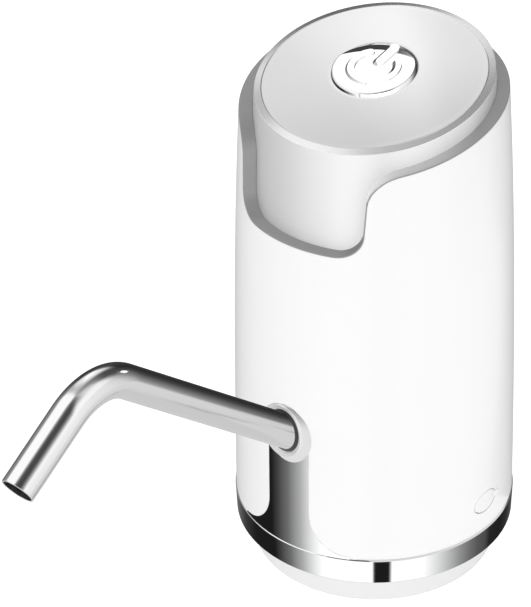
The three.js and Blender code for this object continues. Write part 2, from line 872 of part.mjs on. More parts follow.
function capBlank() {
  const shelfTop = panelHeight - panel.thickness - gap;
  const shelfBottom = shelfTop - cap.shelfThickness;
  const shelfInner = bevelRadius - cap.shelfWidth;
  const innerRadius = (z) => capRadiusAt(z) - cap.wall;
  return ringLoft(evenAngles(fineness.large), (angle) => {
    const rim = slanted(cap.rimHeight, rimRadius, angle);
    const section = [];
    const rows = 3;
    for (let i = 0; i < rows; i += 1) {
      const z = cap.skirtBottom + ((rim - cap.skirtBottom) * i) / rows;
      section.push([capSideAt(z, angle), z]);
    }
    section.push([rimRadius, rim]);
    section.push([bevelRadius, slanted(cap.rimHeight + cap.bevelRise, bevelRadius, angle)]);
    section.push([bevelRadius, slanted(shelfTop, bevelRadius, angle)]);
    section.push([shelfInner, slanted(shelfTop, shelfInner, angle)]);
    section.push([shelfInner, slanted(shelfBottom, shelfInner, angle)]);
    const wallTop = slanted(shelfBottom - cap.shelfWidth, bevelRadius, angle);
    section.push([Math.min(innerRadius(wallTop), bevelRadius), wallTop]);
    section.push([innerRadius(cap.skirtBottom), cap.skirtBottom]);
    return section;
  });
}

add('top_cap', capBlank(), finishes.silverSatin);

const guideInner = button.radius + button.flange + gap;
const guideOuter = guideInner + button.guideWall;
const postLength = button.guideDepth + switchGear.bodyHeight;

function postPlaces() {
  return Array.from({ length: switchGear.posts }, (_, i) => {
    const angle = ((i + 0.5) / switchGear.posts) * 2 * Math.PI;
    return [switchGear.postCircle * Math.cos(angle), switchGear.postCircle * Math.sin(angle)];
  });
}

// Heights below are measured down from the panel's top, square to it.
const flangeTop = -(panel.thickness + gap);
const stemBottom = flangeTop - button.flangeThickness - button.stemLength;
const plungerTop = stemBottom - gap;
const switchTop = plungerTop - switchGear.plungerRise;
const boardTop = switchTop - switchGear.bodyHeight - gap;

function topPanel() {
  const radius = bevelRadius - gap;
  const edge = panel.edgeRounding;
  const shares = Array.from({ length: panel.domeRings }, (_, ring) => 1 - (ring + 1) / panel.domeRings);
  const disc = ringLoft(evenAngles(fineness.large), (angle) => {
    const at = (r, z) => [r, slanted(panelHeight + z, r, angle)];
    return [
      at(0, -panel.thickness),
      at(radius, -panel.thickness),
      at(radius, -edge),
      at(radius - edge, 0),
      ...shares.map((share) => at((radius - edge) * share, panel.dome * (1 - share ** 2))),
    ];
  });
  const under = panel.edgeRounding - panel.thickness; // where the guide and the posts grow from the disc
  const guideBottom = -panel.thickness - button.guideDepth;
  const guide = moved(pipe(guideOuter, guideInner, under - guideBottom, fineness.medium), 0, 0, guideBottom);
  const posts = postPlaces().map(([x, y]) => moved(
    rod(switchGear.postRadius, under - boardTop - gap, fineness.tiny), x, y, boardTop + gap,
  ));
  const screwHoles = postPlaces().map(([x, y]) => moved(
    rod(switchGear.screwRadius + gap, switchGear.screwLength, fineness.tiny), x, y, boardTop - overrun,
  ));
  const through = 2 * panel.thickness;
  const buttonHole = moved(rod(button.radius + gap, 2 * through, fineness.medium), 0, 0, -through);
  const flangeRoom = moved(rod(guideInner, postLength, fineness.medium), 0, 0, -panel.thickness - postLength);
  return cutAway(
    join(disc, inBody(guide, head), ...posts.map((g) => inBody(g, head))),
    inBody(buttonHole, head),
    inBody(flangeRoom, head),
    ...screwHoles.map((g) => inBody(g, head)),
  );
}

add('top_panel', topPanel(), finishes.silverSatin);

// Power button with a raised ring and bar, and the switch under it

function powerSymbol() {
  const ring = new THREE.Shape();
  const from = Math.PI / 2 + button.symbolGap;
  const to = Math.PI / 2 - button.symbolGap + 2 * Math.PI;
  ring.absarc(0, 0, button.symbolOuter, from, to, false);
  ring.absarc(0, 0, button.symbolInner, to, from, true);
  const bar = new THREE.Shape();
  const half = button.barWidth / 2;
  bar.absarc(0, button.barInner + half, half, Math.PI, 2 * Math.PI, false);
  bar.absarc(0, button.barOuter - half, half, 0, Math.PI, false);
  const sunk = button.symbolRise;
  return [ring, bar].map((shape) => moved(prism(shape, 2 * sunk), 0, 0, button.proud - sunk));
}

function powerButton() {
  const top = button.proud;
  const edge = button.edgeRounding;
  const foot = flangeTop - button.flangeThickness;
  const wide = button.radius + button.flange;
  const profile = [
    [0, stemBottom],
    [button.stemRadius, stemBottom],
    [button.stemRadius, foot],
    [wide, foot],
    [wide, flangeTop],
    [button.radius, flangeTop],
    [button.radius, top - edge],
    [button.radius - edge, top],
    [0, top],
  ];
  return join(turned(profile, fineness.medium), ...powerSymbol());
}

add('power_button', powerButton(), finishes.chrome, head);

const plungerBottom = switchTop - switchGear.plungerBore + button.travel + gap;
add('switch_plunger', moved(
  rod(switchGear.plungerRadius, plungerTop - plungerBottom, fineness.tiny), 0, 0, plungerBottom,
), finishes.darkPlastic, head);

add('tact_switch', moved(cutAway(
  block(switchGear.bodyWidth, switchGear.bodyWidth, switchGear.bodyHeight),
  moved(rod(switchGear.plungerRadius + gap, switchGear.plungerBore + overrun, fineness.tiny),
    0, 0, switchGear.bodyHeight - switchGear.plungerBore),
), 0, 0, switchTop - switchGear.bodyHeight), finishes.darkPlastic, head);

add('switch_board', moved(cutAway(
  rod(switchGear.boardRadius, switchGear.boardThickness, fineness.medium),
  ...postPlaces().map(([x, y]) => moved(
    rod(switchGear.screwRadius + gap, switchGear.boardThickness + 2 * overrun, fineness.tiny), x, y, -overrun,
  )),
), 0, 0, boardTop - switchGear.boardThickness), finishes.circuit, head);

function panHead(radius, headRadius, headHeight, length) {
  return turned([
    [0, -headHeight],
    [headRadius * screwShares.headTop, -headHeight],
    [headRadius, -headHeight * screwShares.headSide],
    [headRadius, 0],
    [radius, 0],
    [radius, length],
    [0, length],
  ], fineness.tiny);
}

postPlaces().forEach(([x, y], i) => {
  const shape = panHead(switchGear.screwRadius, switchGear.screwHeadRadius, switchGear.screwHeadHeight,
    switchGear.screwLength - overrun);
  add(`switch_screw_${i + 1}`, moved(shape, x, y, boardTop - switchGear.boardThickness - gap), finishes.steel, head);
});

// Floor fittings: the inlet nipple with its seal and nut, and the screws that hold the frame

const sealBottom = floorTop + gap;
const flangeBottom = sealBottom + nipple.sealThickness + gap;
const nutTop = floorBottom - gap;

function inletNipple() {
  const flangeTop = flangeBottom + nipple.flangeThickness;
  const top = flangeTop + nipple.innerLength;
  const nutBottom = nutTop - nipple.nutThickness;
  const tip = nutBottom - nipple.outerLength;
  const ridge = nipple.radius + nipple.ridge;
  const step = nipple.outerLength / 4;
  return turned([
    [nipple.bore, tip],
    [nipple.radius, tip],
    [ridge, tip + step],
    [nipple.radius, tip + step],
    [ridge, tip + 2 * step],
    [nipple.radius, tip + 2 * step],
    [nipple.radius, flangeBottom],
    [nipple.flangeRadius, flangeBottom],
    [nipple.flangeRadius, flangeTop],
    [nipple.radius, flangeTop],
    [nipple.radius, top],
    [nipple.bore, top],
    [nipple.bore, tip],
  ], fineness.small);
}

add('inlet_nipple', inletNipple(), finishes.whitePlain);

add('inlet_seal', moved(pipe(nipple.flangeRadius, nipple.radius + gap, nipple.sealThickness), 0, 0, sealBottom),
  finishes.rubber);

add('inlet_nut', moved(cutAway(
  rod(nipple.nutRadius, nipple.nutThickness, 6),
  moved(rod(nipple.radius + gap, nipple.nutThickness + 2 * overrun), 0, 0, -overrun),
), 0, 0, nutTop - nipple.nutThickness), finishes.whitePlain);

legPlaces().forEach(([x, y], i) => {
  const shape = panHead(screw.radius, screw.headRadius, screw.headHeight, screw.length);
  add(`base_screw_${i + 1}`, moved(shape, x, y, nutTop), finishes.steel);
});

// Frame: two decks on four legs, open for the motor, the battery and the leads

const deckHoles = motor.radius + 2 * gap;

function innerFrame() {
  const legBottom = floorTop + gap;
  const legLength = frame.upperDeck - legBottom + frame.deckThickness / 2;
  const uprights = legPlaces().map(([x, y]) => moved(rod(legs.radius, legLength, fineness.tiny), x, y, legBottom));
  const bores = legPlaces().map(([x, y]) => moved(
    rod(legs.bore + gap, legs.boreDepth + overrun, fineness.tiny), x, y, legBottom - overrun,
  ));
  const lower = moved(rod(shellRadius - frame.lowerInset, frame.deckThickness, fineness.medium), 0, 0, frame.lowerDeck);
  const upper = moved(rod(shellRadius - frame.upperInset, frame.deckThickness, fineness.medium), 0, 0, frame.upperDeck);
  const batteryHole = moved(
    rod(battery.radius + 2 * gap, frame.deckThickness + 2 * overrun, fineness.medium),
    0, cellOffset, frame.lowerDeck - overrun,
  );
  const motorHole = moved(
    rod(deckHoles, frame.deckThickness + 2 * overrun, fineness.medium), 0, 0, frame.lowerDeck - overrun,
  );
  const wireHole = moved(
    rod(frame.wireHole, frame.deckThickness + 2 * overrun), 0, 0, frame.upperDeck - overrun,
  );
  const standoffs = standoffPlaces().map(([x, y]) => moved(
    rod(board.standoffRadius, board.standoff + frame.deckThickness / 2, fineness.tiny),
    x, y, frame.upperDeck + frame.deckThickness / 2,
  ));
  return cutAway(join(lower, upper, ...uprights, ...standoffs), ...bores, batteryHole, motorHole, wireHole);
}

function standoffPlaces() {
  const x = board.width / 2 - board.standoffRadius;
  const y = board.depth / 2 - board.standoffRadius;
  return [[x, y], [-x, y], [-x, -y], [x, -y]];
}

add('inner_frame', innerFrame(), finishes.whitePlain);

// Pump head, from the ports upwards

const valveBottom = pump.coverBottom + pump.coverHeight + gap;
const membraneBottom = valveBottom + pump.valveHeight + gap;
const housingBottom = membraneBottom + pump.membraneHeight + gap;
const motorBottom = housingBottom + pump.housingHeight + gap;
const portAxis = pump.coverBottom + pump.coverHeight / 2;

function pumpScrewPlaces() {
  return Array.from({ length: pump.screws }, (_, i) => {
    const angle = ((i + 0.5) / pump.screws) * 2 * Math.PI;
    return [pump.screwCircle * Math.cos(angle), pump.screwCircle * Math.sin(angle)];
  });
}

function pumpScrewHoles(from, height) {
  return pumpScrewPlaces().map(([x, y]) => moved(
    rod(pump.screwRadius + gap, height + 2 * overrun, fineness.tiny), x, y, from - overrun,
  ));
}

function acrossPort(radius, from, to) {
  return rod(radius, to - from).rotateX(Math.PI / 2).translate(0, -from, portAxis);
}

function pumpCover() {
  const plate = moved(rod(pump.radius, pump.coverHeight, fineness.medium), 0, 0, pump.coverBottom);
  const inletPort = moved(rod(pump.portRadius, pump.portLength + overrun), 0, 0, pump.coverBottom - pump.portLength);
  const outletPort = acrossPort(pump.portRadius, pump.radius - overrun, pump.radius + pump.portLength);
  const inletBore = moved(rod(pump.portBore, pump.portLength + pump.coverHeight / 3 + overrun),
    0, 0, pump.coverBottom - pump.portLength - overrun);
  const outletBore = acrossPort(pump.portBore, pump.radius / 2, pump.radius + pump.portLength + overrun);
  return cutAway(
    join(plate, inletPort, outletPort),
    inletBore,
    outletBore,
    ...pumpScrewHoles(pump.coverBottom, pump.coverHeight),
  );
}

add('pump_cover', pumpCover(), finishes.darkPlastic);

// Plate with three valve seats, open from face to face.
function valvePlate() {
  const plate = moved(rod(pump.radius, pump.valveHeight, fineness.medium), 0, 0, valveBottom);
  const seats = [0, 1, 2].map((i) => {
    const angle = (i / 3) * 2 * Math.PI;
    const reach = pump.radius * pumpShares.valveCircle;
    return moved(rod(pump.portBore, pump.valveHeight + 2 * overrun, fineness.tiny),
      reach * Math.cos(angle), reach * Math.sin(angle), valveBottom - overrun);
  });
  return cutAway(plate, ...seats, ...pumpScrewHoles(valveBottom, pump.valveHeight));
}

add('valve_plate', valvePlate(), finishes.whitePlain);

// Rubber diaphragm with three domes that the cam rocks in turn.
function diaphragm() {
  const plate = moved(rod(pump.radius, pump.membraneHeight, fineness.medium), 0, 0, membraneBottom);
  const domes = [0, 1, 2].map((i) => {
    const angle = (i / 3) * 2 * Math.PI;
    const reach = pump.radius * pumpShares.domeCircle;
    const dome = turned([
      [0, 0], [pump.portRadius, 0], [pump.portRadius, gap], [pump.portRadius / 2, pump.portRadius / 2],
      [0, pump.portRadius / 2],
    ], fineness.tiny);
    return moved(dome, reach * Math.cos(angle), reach * Math.sin(angle), membraneBottom + pump.membraneHeight - gap);
  });
  return cutAway(join(plate, ...domes), ...pumpScrewHoles(membraneBottom, pump.membraneHeight));
}

add('pump_diaphragm', diaphragm(), finishes.rubber);

const camBottom = motorBottom - motor.shaftReach;

function pumpHousing() {
  const cavity = pump.radius - pump.housingWall;
  const shape = turned([
    [motor.shaftRadius + 2 * gap, housingBottom + pump.housingHeight - pump.housingWall],
    [cavity, housingBottom + pump.housingHeight - pump.housingWall],
    [cavity, housingBottom],
    [pump.radius, housingBottom],
    [pump.radius, housingBottom + pump.housingHeight],
    [motor.shaftRadius + 2 * gap, housingBottom + pump.housingHeight],
    [motor.shaftRadius + 2 * gap, housingBottom + pump.housingHeight - pump.housingWall],
  ], fineness.medium);
  const pillars = pumpScrewPlaces().map(([x, y]) => moved(
    rod(pump.housingWall, pump.housingHeight - overrun, fineness.tiny), x, y, housingBottom,
  ));
  const bounded = common(join(shape, ...pillars), moved(
    rod(pump.radius, pump.housingHeight, fineness.medium), 0, 0, housingBottom,
  ));
  return cutAway(bounded, ...pumpScrewHoles(housingBottom, pump.housingHeight * pumpShares.screwReach));
}

add('pump_housing', pumpHousing(), finishes.darkPlastic);

pumpScrewPlaces().forEach(([x, y], i) => {
  const length = housingBottom + pump.housingHeight / 3 - pump.coverBottom;
  const shape = panHead(pump.screwRadius, pump.screwHeadRadius, pump.screwHeadHeight, length);
  add(`pump_screw_${i + 1}`, moved(shape, x, y, pump.coverBottom - gap), finishes.steel);
});

// Motor: can, end cap, and the shaft that carries the cam

function motorCan() {
  const top = motorBottom + motor.canHeight;
  const floor = motorBottom + motor.canWall;
  const inner = motor.radius - motor.canWall;
  const boreRim = motor.shaftRadius + gap;
  return turned([
    [boreRim, motorBottom],
    [motor.radius, motorBottom],
    [motor.radius, top],
    [inner, top],
    [inner, floor],
    [boreRim, floor],
    [boreRim, motorBottom],
  ], fineness.medium);
}

add('motor_can', motorCan(), finishes.steel);

const motorTop = motorBottom + motor.canHeight + gap;

function motorEndCap() {
  const cover = moved(rod(motor.radius - gap, motor.capHeight, fineness.medium), 0, 0, motorTop);
  const boss = moved(rod(motor.bossRadius, motor.bossHeight + overrun, fineness.small),
    0, 0, motorTop + motor.capHeight - overrun);
  const shaftRoom = moved(rod(motor.shaftRadius + gap, motor.capHeight, fineness.tiny), 0, 0, motorTop - overrun);
  const tabs = [-1, 1].map((side) => moved(
    block(motor.terminalWidth, motor.terminalThickness, motor.terminalHeight + overrun),
    side * motor.terminalOffset, 0, motorTop + motor.capHeight - overrun,
  ));
  return cutAway(join(cover, boss, ...tabs), shaftRoom);
}

add('motor_end_cap', motorEndCap(), finishes.darkPlastic);

const shaftTop = motorTop + motor.capHeight - overrun - gap;
add('motor_rotor', moved(
  pipe(motor.rotorRadius, motor.shaftRadius + gap, motor.rotorHeight),
  0, 0, motorBottom + (motor.canHeight - motor.rotorHeight) / 2,
), finishes.steel);

add('motor_shaft', moved(
  rod(motor.shaftRadius, shaftTop - camBottom, fineness.small), 0, 0, camBottom,
), finishes.steel);

function motorCam() {
  const shape = moved(rod(motor.camRadius, motor.camHeight, fineness.small), motor.camOffset, 0, camBottom - gap);
  const bore = rod(motor.shaftRadius + gap, motor.camHeight + 2 * overrun, fineness.small);
  return cutAway(shape, moved(bore, 0, 0, camBottom - gap - overrun));
}

add('motor_cam', motorCam(), finishes.whitePlain);

// Hoses inside the body

const nippleTop = flangeBottom + nipple.flangeThickness + nipple.innerLength;
const inletHoseBottom = flangeBottom + nipple.flangeThickness + gap;
add('inlet_hose', moved(
  pipe(hose.outer, hose.inner, pump.coverBottom - gap - inletHoseBottom), 0, 0, inletHoseBottom,
), finishes.silicone);

function outletHose() {
  const axisPoint = (a) => new THREE.Vector3(0, 0, a).applyMatrix4(exit.matrixWorld);
  const tailFoot = socketEnd - gap - outlet.socketBottom - gap;
  const level = (spout.exitHeight - portAxis) / Math.tan(riseAngle);
  const corner = new THREE.Vector3(0, level - shellRadius, portAxis);
  const start = new THREE.Vector3(0, -pump.radius - gap, portAxis);
  const run = roundedRun([start, corner, axisPoint(tailFoot)], 2 * hose.outer, 5);
  return along(run, hose.outer, hose.inner, fineness.hose);
}

add('outlet_hose', outletHose(), finishes.silicone);

// Battery cell with its pad

const cellBottom = floorTop + battery.seatHeight + gap;
const cellTop = cellBottom + battery.height;

add('battery_cell', moved(turned([
  [0, 0],
  [battery.radius, 0],
  [battery.radius, battery.height - battery.buttonHeight],
  [battery.buttonRadius, battery.height - battery.buttonHeight],
  [battery.buttonRadius, battery.height],
  [0, battery.height],
], fineness.small), 0, cellOffset, cellBottom), finishes.cellWrap);

add('battery_pad', moved(
  pipe(battery.padRadius, battery.buttonRadius + 2 * gap, frame.upperDeck - gap - cellTop - gap),
  0, cellOffset, cellTop + gap,
), finishes.foam);

// Control board on the upper deck

const boardBottom = frame.upperDeck + frame.deckThickness + board.standoff + gap;
const boardFace = boardBottom + board.thickness + gap;

add('control_board', moved(block(board.width, board.depth, board.thickness), 0, 0, boardBottom), finishes.circuit);

add('capacitor', moved(
  rod(board.capRadius, board.capHeight, fineness.small),
  -board.width * boardShares.tall, board.depth * boardShares.tall, boardFace,
), finishes.darkPlastic);

add('driver_chip', moved(block(board.driverWidth, board.driverWidth, board.driverHeight),
  board.width * boardShares.chip, board.depth * boardShares.chip, boardFace), finishes.darkPlastic);

for (const [side, name] of [[-1, 'battery_plug'], [1, 'motor_plug']]) {
  add(name, moved(block(board.plugWidth, board.plugDepth, board.plugHeight),
    side * board.plugOffset, -board.depth * boardShares.tall, boardFace), finishes.whitePlain);
}

// Charging socket on its board, and the cover in the shell

const chargeTop = port.height - usb.height / 2 - gap;
const socketFace = shellRadius - body.shellWall - usb.setback;

add('charge_board', moved(
  block(chargeBoard.length, chargeBoard.width, chargeBoard.thickness),
  socketFace - chargeBoard.length / 2 - chargeBoard.inset, 0, chargeTop - chargeBoard.thickness,
), finishes.circuit);

function usbSocket() {
  const can = block(usb.length, usb.width, usb.height);
  const mouth = moved(
    block(usb.length, usb.width - 2 * usb.wall, usb.height - 2 * usb.wall), 2 * usb.wall, 0, usb.wall,
  );
  const tongue = moved(block(usb.length - 2 * usb.wall, usb.tongueWidth, usb.tongueHeight),
    -usb.wall, 0, (usb.height - usb.tongueHeight) / 2);
  return join(cutAway(can, mouth), tongue);
}

add('usb_socket', moved(usbSocket(), socketFace - usb.length / 2, 0, port.height - usb.height / 2), finishes.steel);

function portCover() {
  const inner = shellRadius - port.coverThickness;
  const wide = port.halfWidth - gap;
  const tall = port.halfHeight - gap;
  const ring = (w, h, x) => ellipse(fineness.small, (c, s) => new THREE.Vector3(w * c, h * s, x));
  const plug = loft([
    ring(wide - port.coverTaper, tall - port.coverTaper, inner),
    ring(wide, tall, shellRadius - gap),
    ring(wide, tall, shellReach),
  ], false).rotateX(Math.PI / 2).rotateZ(Math.PI / 2).translate(0, 0, port.height);
  const skin = turned([
    [0, port.height - 2 * port.halfHeight],
    [shellRadiusAt(port.height), port.height - 2 * port.halfHeight],
    [shellRadiusAt(port.height), port.height + 2 * port.halfHeight],
    [0, port.height + 2 * port.halfHeight],
  ]);
  return common(plug, skin);
}

add('port_cover', portCover(), finishes.silicone);

export default jugPump;
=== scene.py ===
"""Looks of an electric water jug pump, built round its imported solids.

Lengths in the classes are millimetres. Meshes are written in metres, in the part's own frame:
+Z up, the origin in the plane of the collar's lower edge, the spout towards -Y and the charging
port towards +X.
"""
from __future__ import annotations

import json
import logging
import math
from dataclasses import dataclass, field
from enum import Enum
from typing import Callable, Sequence

import bmesh
import bpy
from mathutils import Matrix, Vector

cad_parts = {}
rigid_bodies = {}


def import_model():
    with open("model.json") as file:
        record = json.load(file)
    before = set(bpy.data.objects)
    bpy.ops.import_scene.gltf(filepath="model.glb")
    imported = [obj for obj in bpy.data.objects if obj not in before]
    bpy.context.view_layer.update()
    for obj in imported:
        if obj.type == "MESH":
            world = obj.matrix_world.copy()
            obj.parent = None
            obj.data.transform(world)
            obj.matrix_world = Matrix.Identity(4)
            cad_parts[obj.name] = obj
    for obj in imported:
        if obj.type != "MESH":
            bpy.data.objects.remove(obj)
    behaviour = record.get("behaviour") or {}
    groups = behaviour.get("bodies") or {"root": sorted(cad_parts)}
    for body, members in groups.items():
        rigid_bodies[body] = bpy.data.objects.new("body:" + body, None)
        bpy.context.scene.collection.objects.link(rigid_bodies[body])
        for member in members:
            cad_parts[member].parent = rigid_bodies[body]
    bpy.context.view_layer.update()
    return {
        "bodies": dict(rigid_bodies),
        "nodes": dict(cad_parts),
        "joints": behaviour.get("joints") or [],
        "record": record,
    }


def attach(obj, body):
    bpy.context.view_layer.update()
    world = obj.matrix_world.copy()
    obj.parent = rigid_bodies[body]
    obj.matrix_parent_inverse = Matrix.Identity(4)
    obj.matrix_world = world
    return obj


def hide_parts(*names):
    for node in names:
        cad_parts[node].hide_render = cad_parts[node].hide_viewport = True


LOG = logging.getLogger("jug_pump")
MM = 0.001
QUARTER = math.pi / 2.0  # a right angle
SIDE = Vector((1.0, 0.0, 0.0))  # across the spout
CUT_CLEAR = 2.0  # how far a cutter stands out of the shell
TINY = 1e-5  # less than any distance that matters

Mesh = bmesh.types.BMesh
Piece = bpy.types.Object
Node = bpy.types.Node
Socket = bpy.types.NodeSocket
Tree = bpy.types.NodeTree
Given = bpy.types.NodeOutputs
Pairs = Sequence[tuple[float, float]]
Place = Callable[[int, int], Vector]


class Slot(Enum):
    """Material slots of the part's record."""

    SHELL = "shell_white"
    COLLAR = "collar_white"
    TRIM = "chrome_trim"
    CAP = "cap_silver"
    PANEL = "panel_silver"
    BUTTON = "button_chrome"
    TUBE = "steel_tube"
    SILICONE = "silicone"
    RUBBER = "rubber_black"
    PALE = "plastic_pale"
    DARK = "plastic_dark"
    STEEL = "steel_parts"
    BOARD = "circuit_green"
    CELL = "cell_wrap"
    FOAM = "foam_grey"


# Sizes shared by the sub-assemblies


@dataclass(frozen=True)
class BodyForm:
    """The body's turned form, which the shell, the cap and the trim follow."""

    foot_radius: float = 36.08
    foot_height: float = 17.0
    draw: float = 3.03
    draw_height: float = 123.0
    draw_line: float = 0.15
    draw_power: float = 2.6
    wall: float = 2.4
    ledge: float = 3.45
    rim_height: float = 138.05
    rim_radius: float = 29.78
    bevel_radius: float = 27.95
    bevel_rise: float = 0.42
    tilt: float = 0.173
    skirt_bottom: float = 102.0
    panel_sunk: float = 0.03
    dome: float = 1.9
    dome_inset: float = 0.43

    def shell_radius(self, z: float) -> float:
        """Return the shell's outer radius at a height."""
        share = (z - self.foot_height) / self.draw_height
        late = max(share, 0.0) ** self.draw_power
        return self.foot_radius - self.draw * (self.draw_line * share + (1.0 - self.draw_line) * late)

    def slanted(self, z: float, radius: float, angle: float) -> float:
        """Return the height of a slanted surface that is at height z on the axis."""
        return z - self.tilt * radius * math.cos(angle)

    def cap_radius(self, z: float, angle: float) -> float:
        """Return the radius of the cap's side at a height and an angle.

        Args:
            z: height in millimetres.
            angle: angle from the spout's side, in radians.

        Returns:
            The radius, eased so that the side ends at the cap's rim.
        """
        rim = self.slanted(self.rim_height, self.rim_radius, angle)
        share = (z - self.skirt_bottom) / (rim - self.skirt_bottom)
        plain = self.shell_radius(z) - self.ledge
        return plain + (self.rim_radius - self.shell_radius(rim) + self.ledge) * share

    def domed(self, radius: float) -> float:
        """Return how far the panel stands above its edge at a distance from the axis."""
        return self.dome * (1.0 - (radius / (self.bevel_radius - self.dome_inset)) ** 2)

    @property
    def top(self) -> float:
        """Return the height of the panel's edge on the axis."""
        return self.rim_height + self.bevel_rise - self.panel_sunk

    @property
    def head(self) -> Matrix:
        """Return the frame that lies square on the slanted top, in millimetres."""
        return Matrix.Translation((0.0, 0.0, self.top)) @ Matrix.Rotation(math.atan(self.tilt), 4, "X")


@dataclass(frozen=True)
class OutletForm:
    """The inclined axis that the spout leaves the body on."""

    height: float = 51.7
    rise: float = 38.7
    fall: float = 31.2
    reach: float = 89.5
    drop: float = 33.8
    bend: float = 18.0
    tube_radius: float = 4.35
    bar: tuple[float, float] = (6.3, 16.0)
    bar_station: float = -1.0
    bar_facets: int = 64

    @property
    def out(self) -> Vector:
        """Return the direction of the spout's rising leg."""
        turn = math.radians(self.rise)
        return Vector((0.0, -math.cos(turn), math.sin(turn)))

    @property
    def down(self) -> Vector:
        """Return the direction of the spout's falling leg."""
        turn = math.radians(self.fall)
        return Vector((0.0, -math.cos(turn), -math.sin(turn)))

    @property
    def up(self) -> Vector:
        """Return the direction square to the rising leg, in the spout's plane."""
        return SIDE.cross(self.out) * -1.0

    def at(self, station: float) -> Vector:
        """Return the point of the axis at a distance out from the shell's foot radius."""
        return Vector((0.0, -BODY.foot_radius, self.height)) + self.out * station

    def along(self, station: float) -> Matrix:
        """Return the matrix that stands the Z axis on the outlet's axis, at a distance out."""
        return Matrix.Translation(self.at(station)) @ self.out.to_track_quat("Z", "Y").to_matrix().to_4x4()

    def opening(self) -> Mesh:
        """Return the round bar that opens the shell and the strip for the outlet."""
        return MeshKit.placed(MeshKit.rod(*self.bar, self.bar_facets), self.along(self.bar_station))


BODY = BodyForm()
OUTLET = OutletForm()


def around(radius: float, angle: float, z: float) -> Vector:
    """Return the point at a radius and height, at an angle from the spout's side."""
    return Vector((radius * math.sin(angle), -radius * math.cos(angle), z))


def turns(count: int) -> list[float]:
    """Return evenly spaced angles of a full turn."""
    return [2.0 * math.pi * i / count for i in range(count)]


def eased(count: int) -> list[float]:
    """Return shares from 0 to 1 in count steps."""
    return [i / count for i in range(count + 1)]


# Mesh making


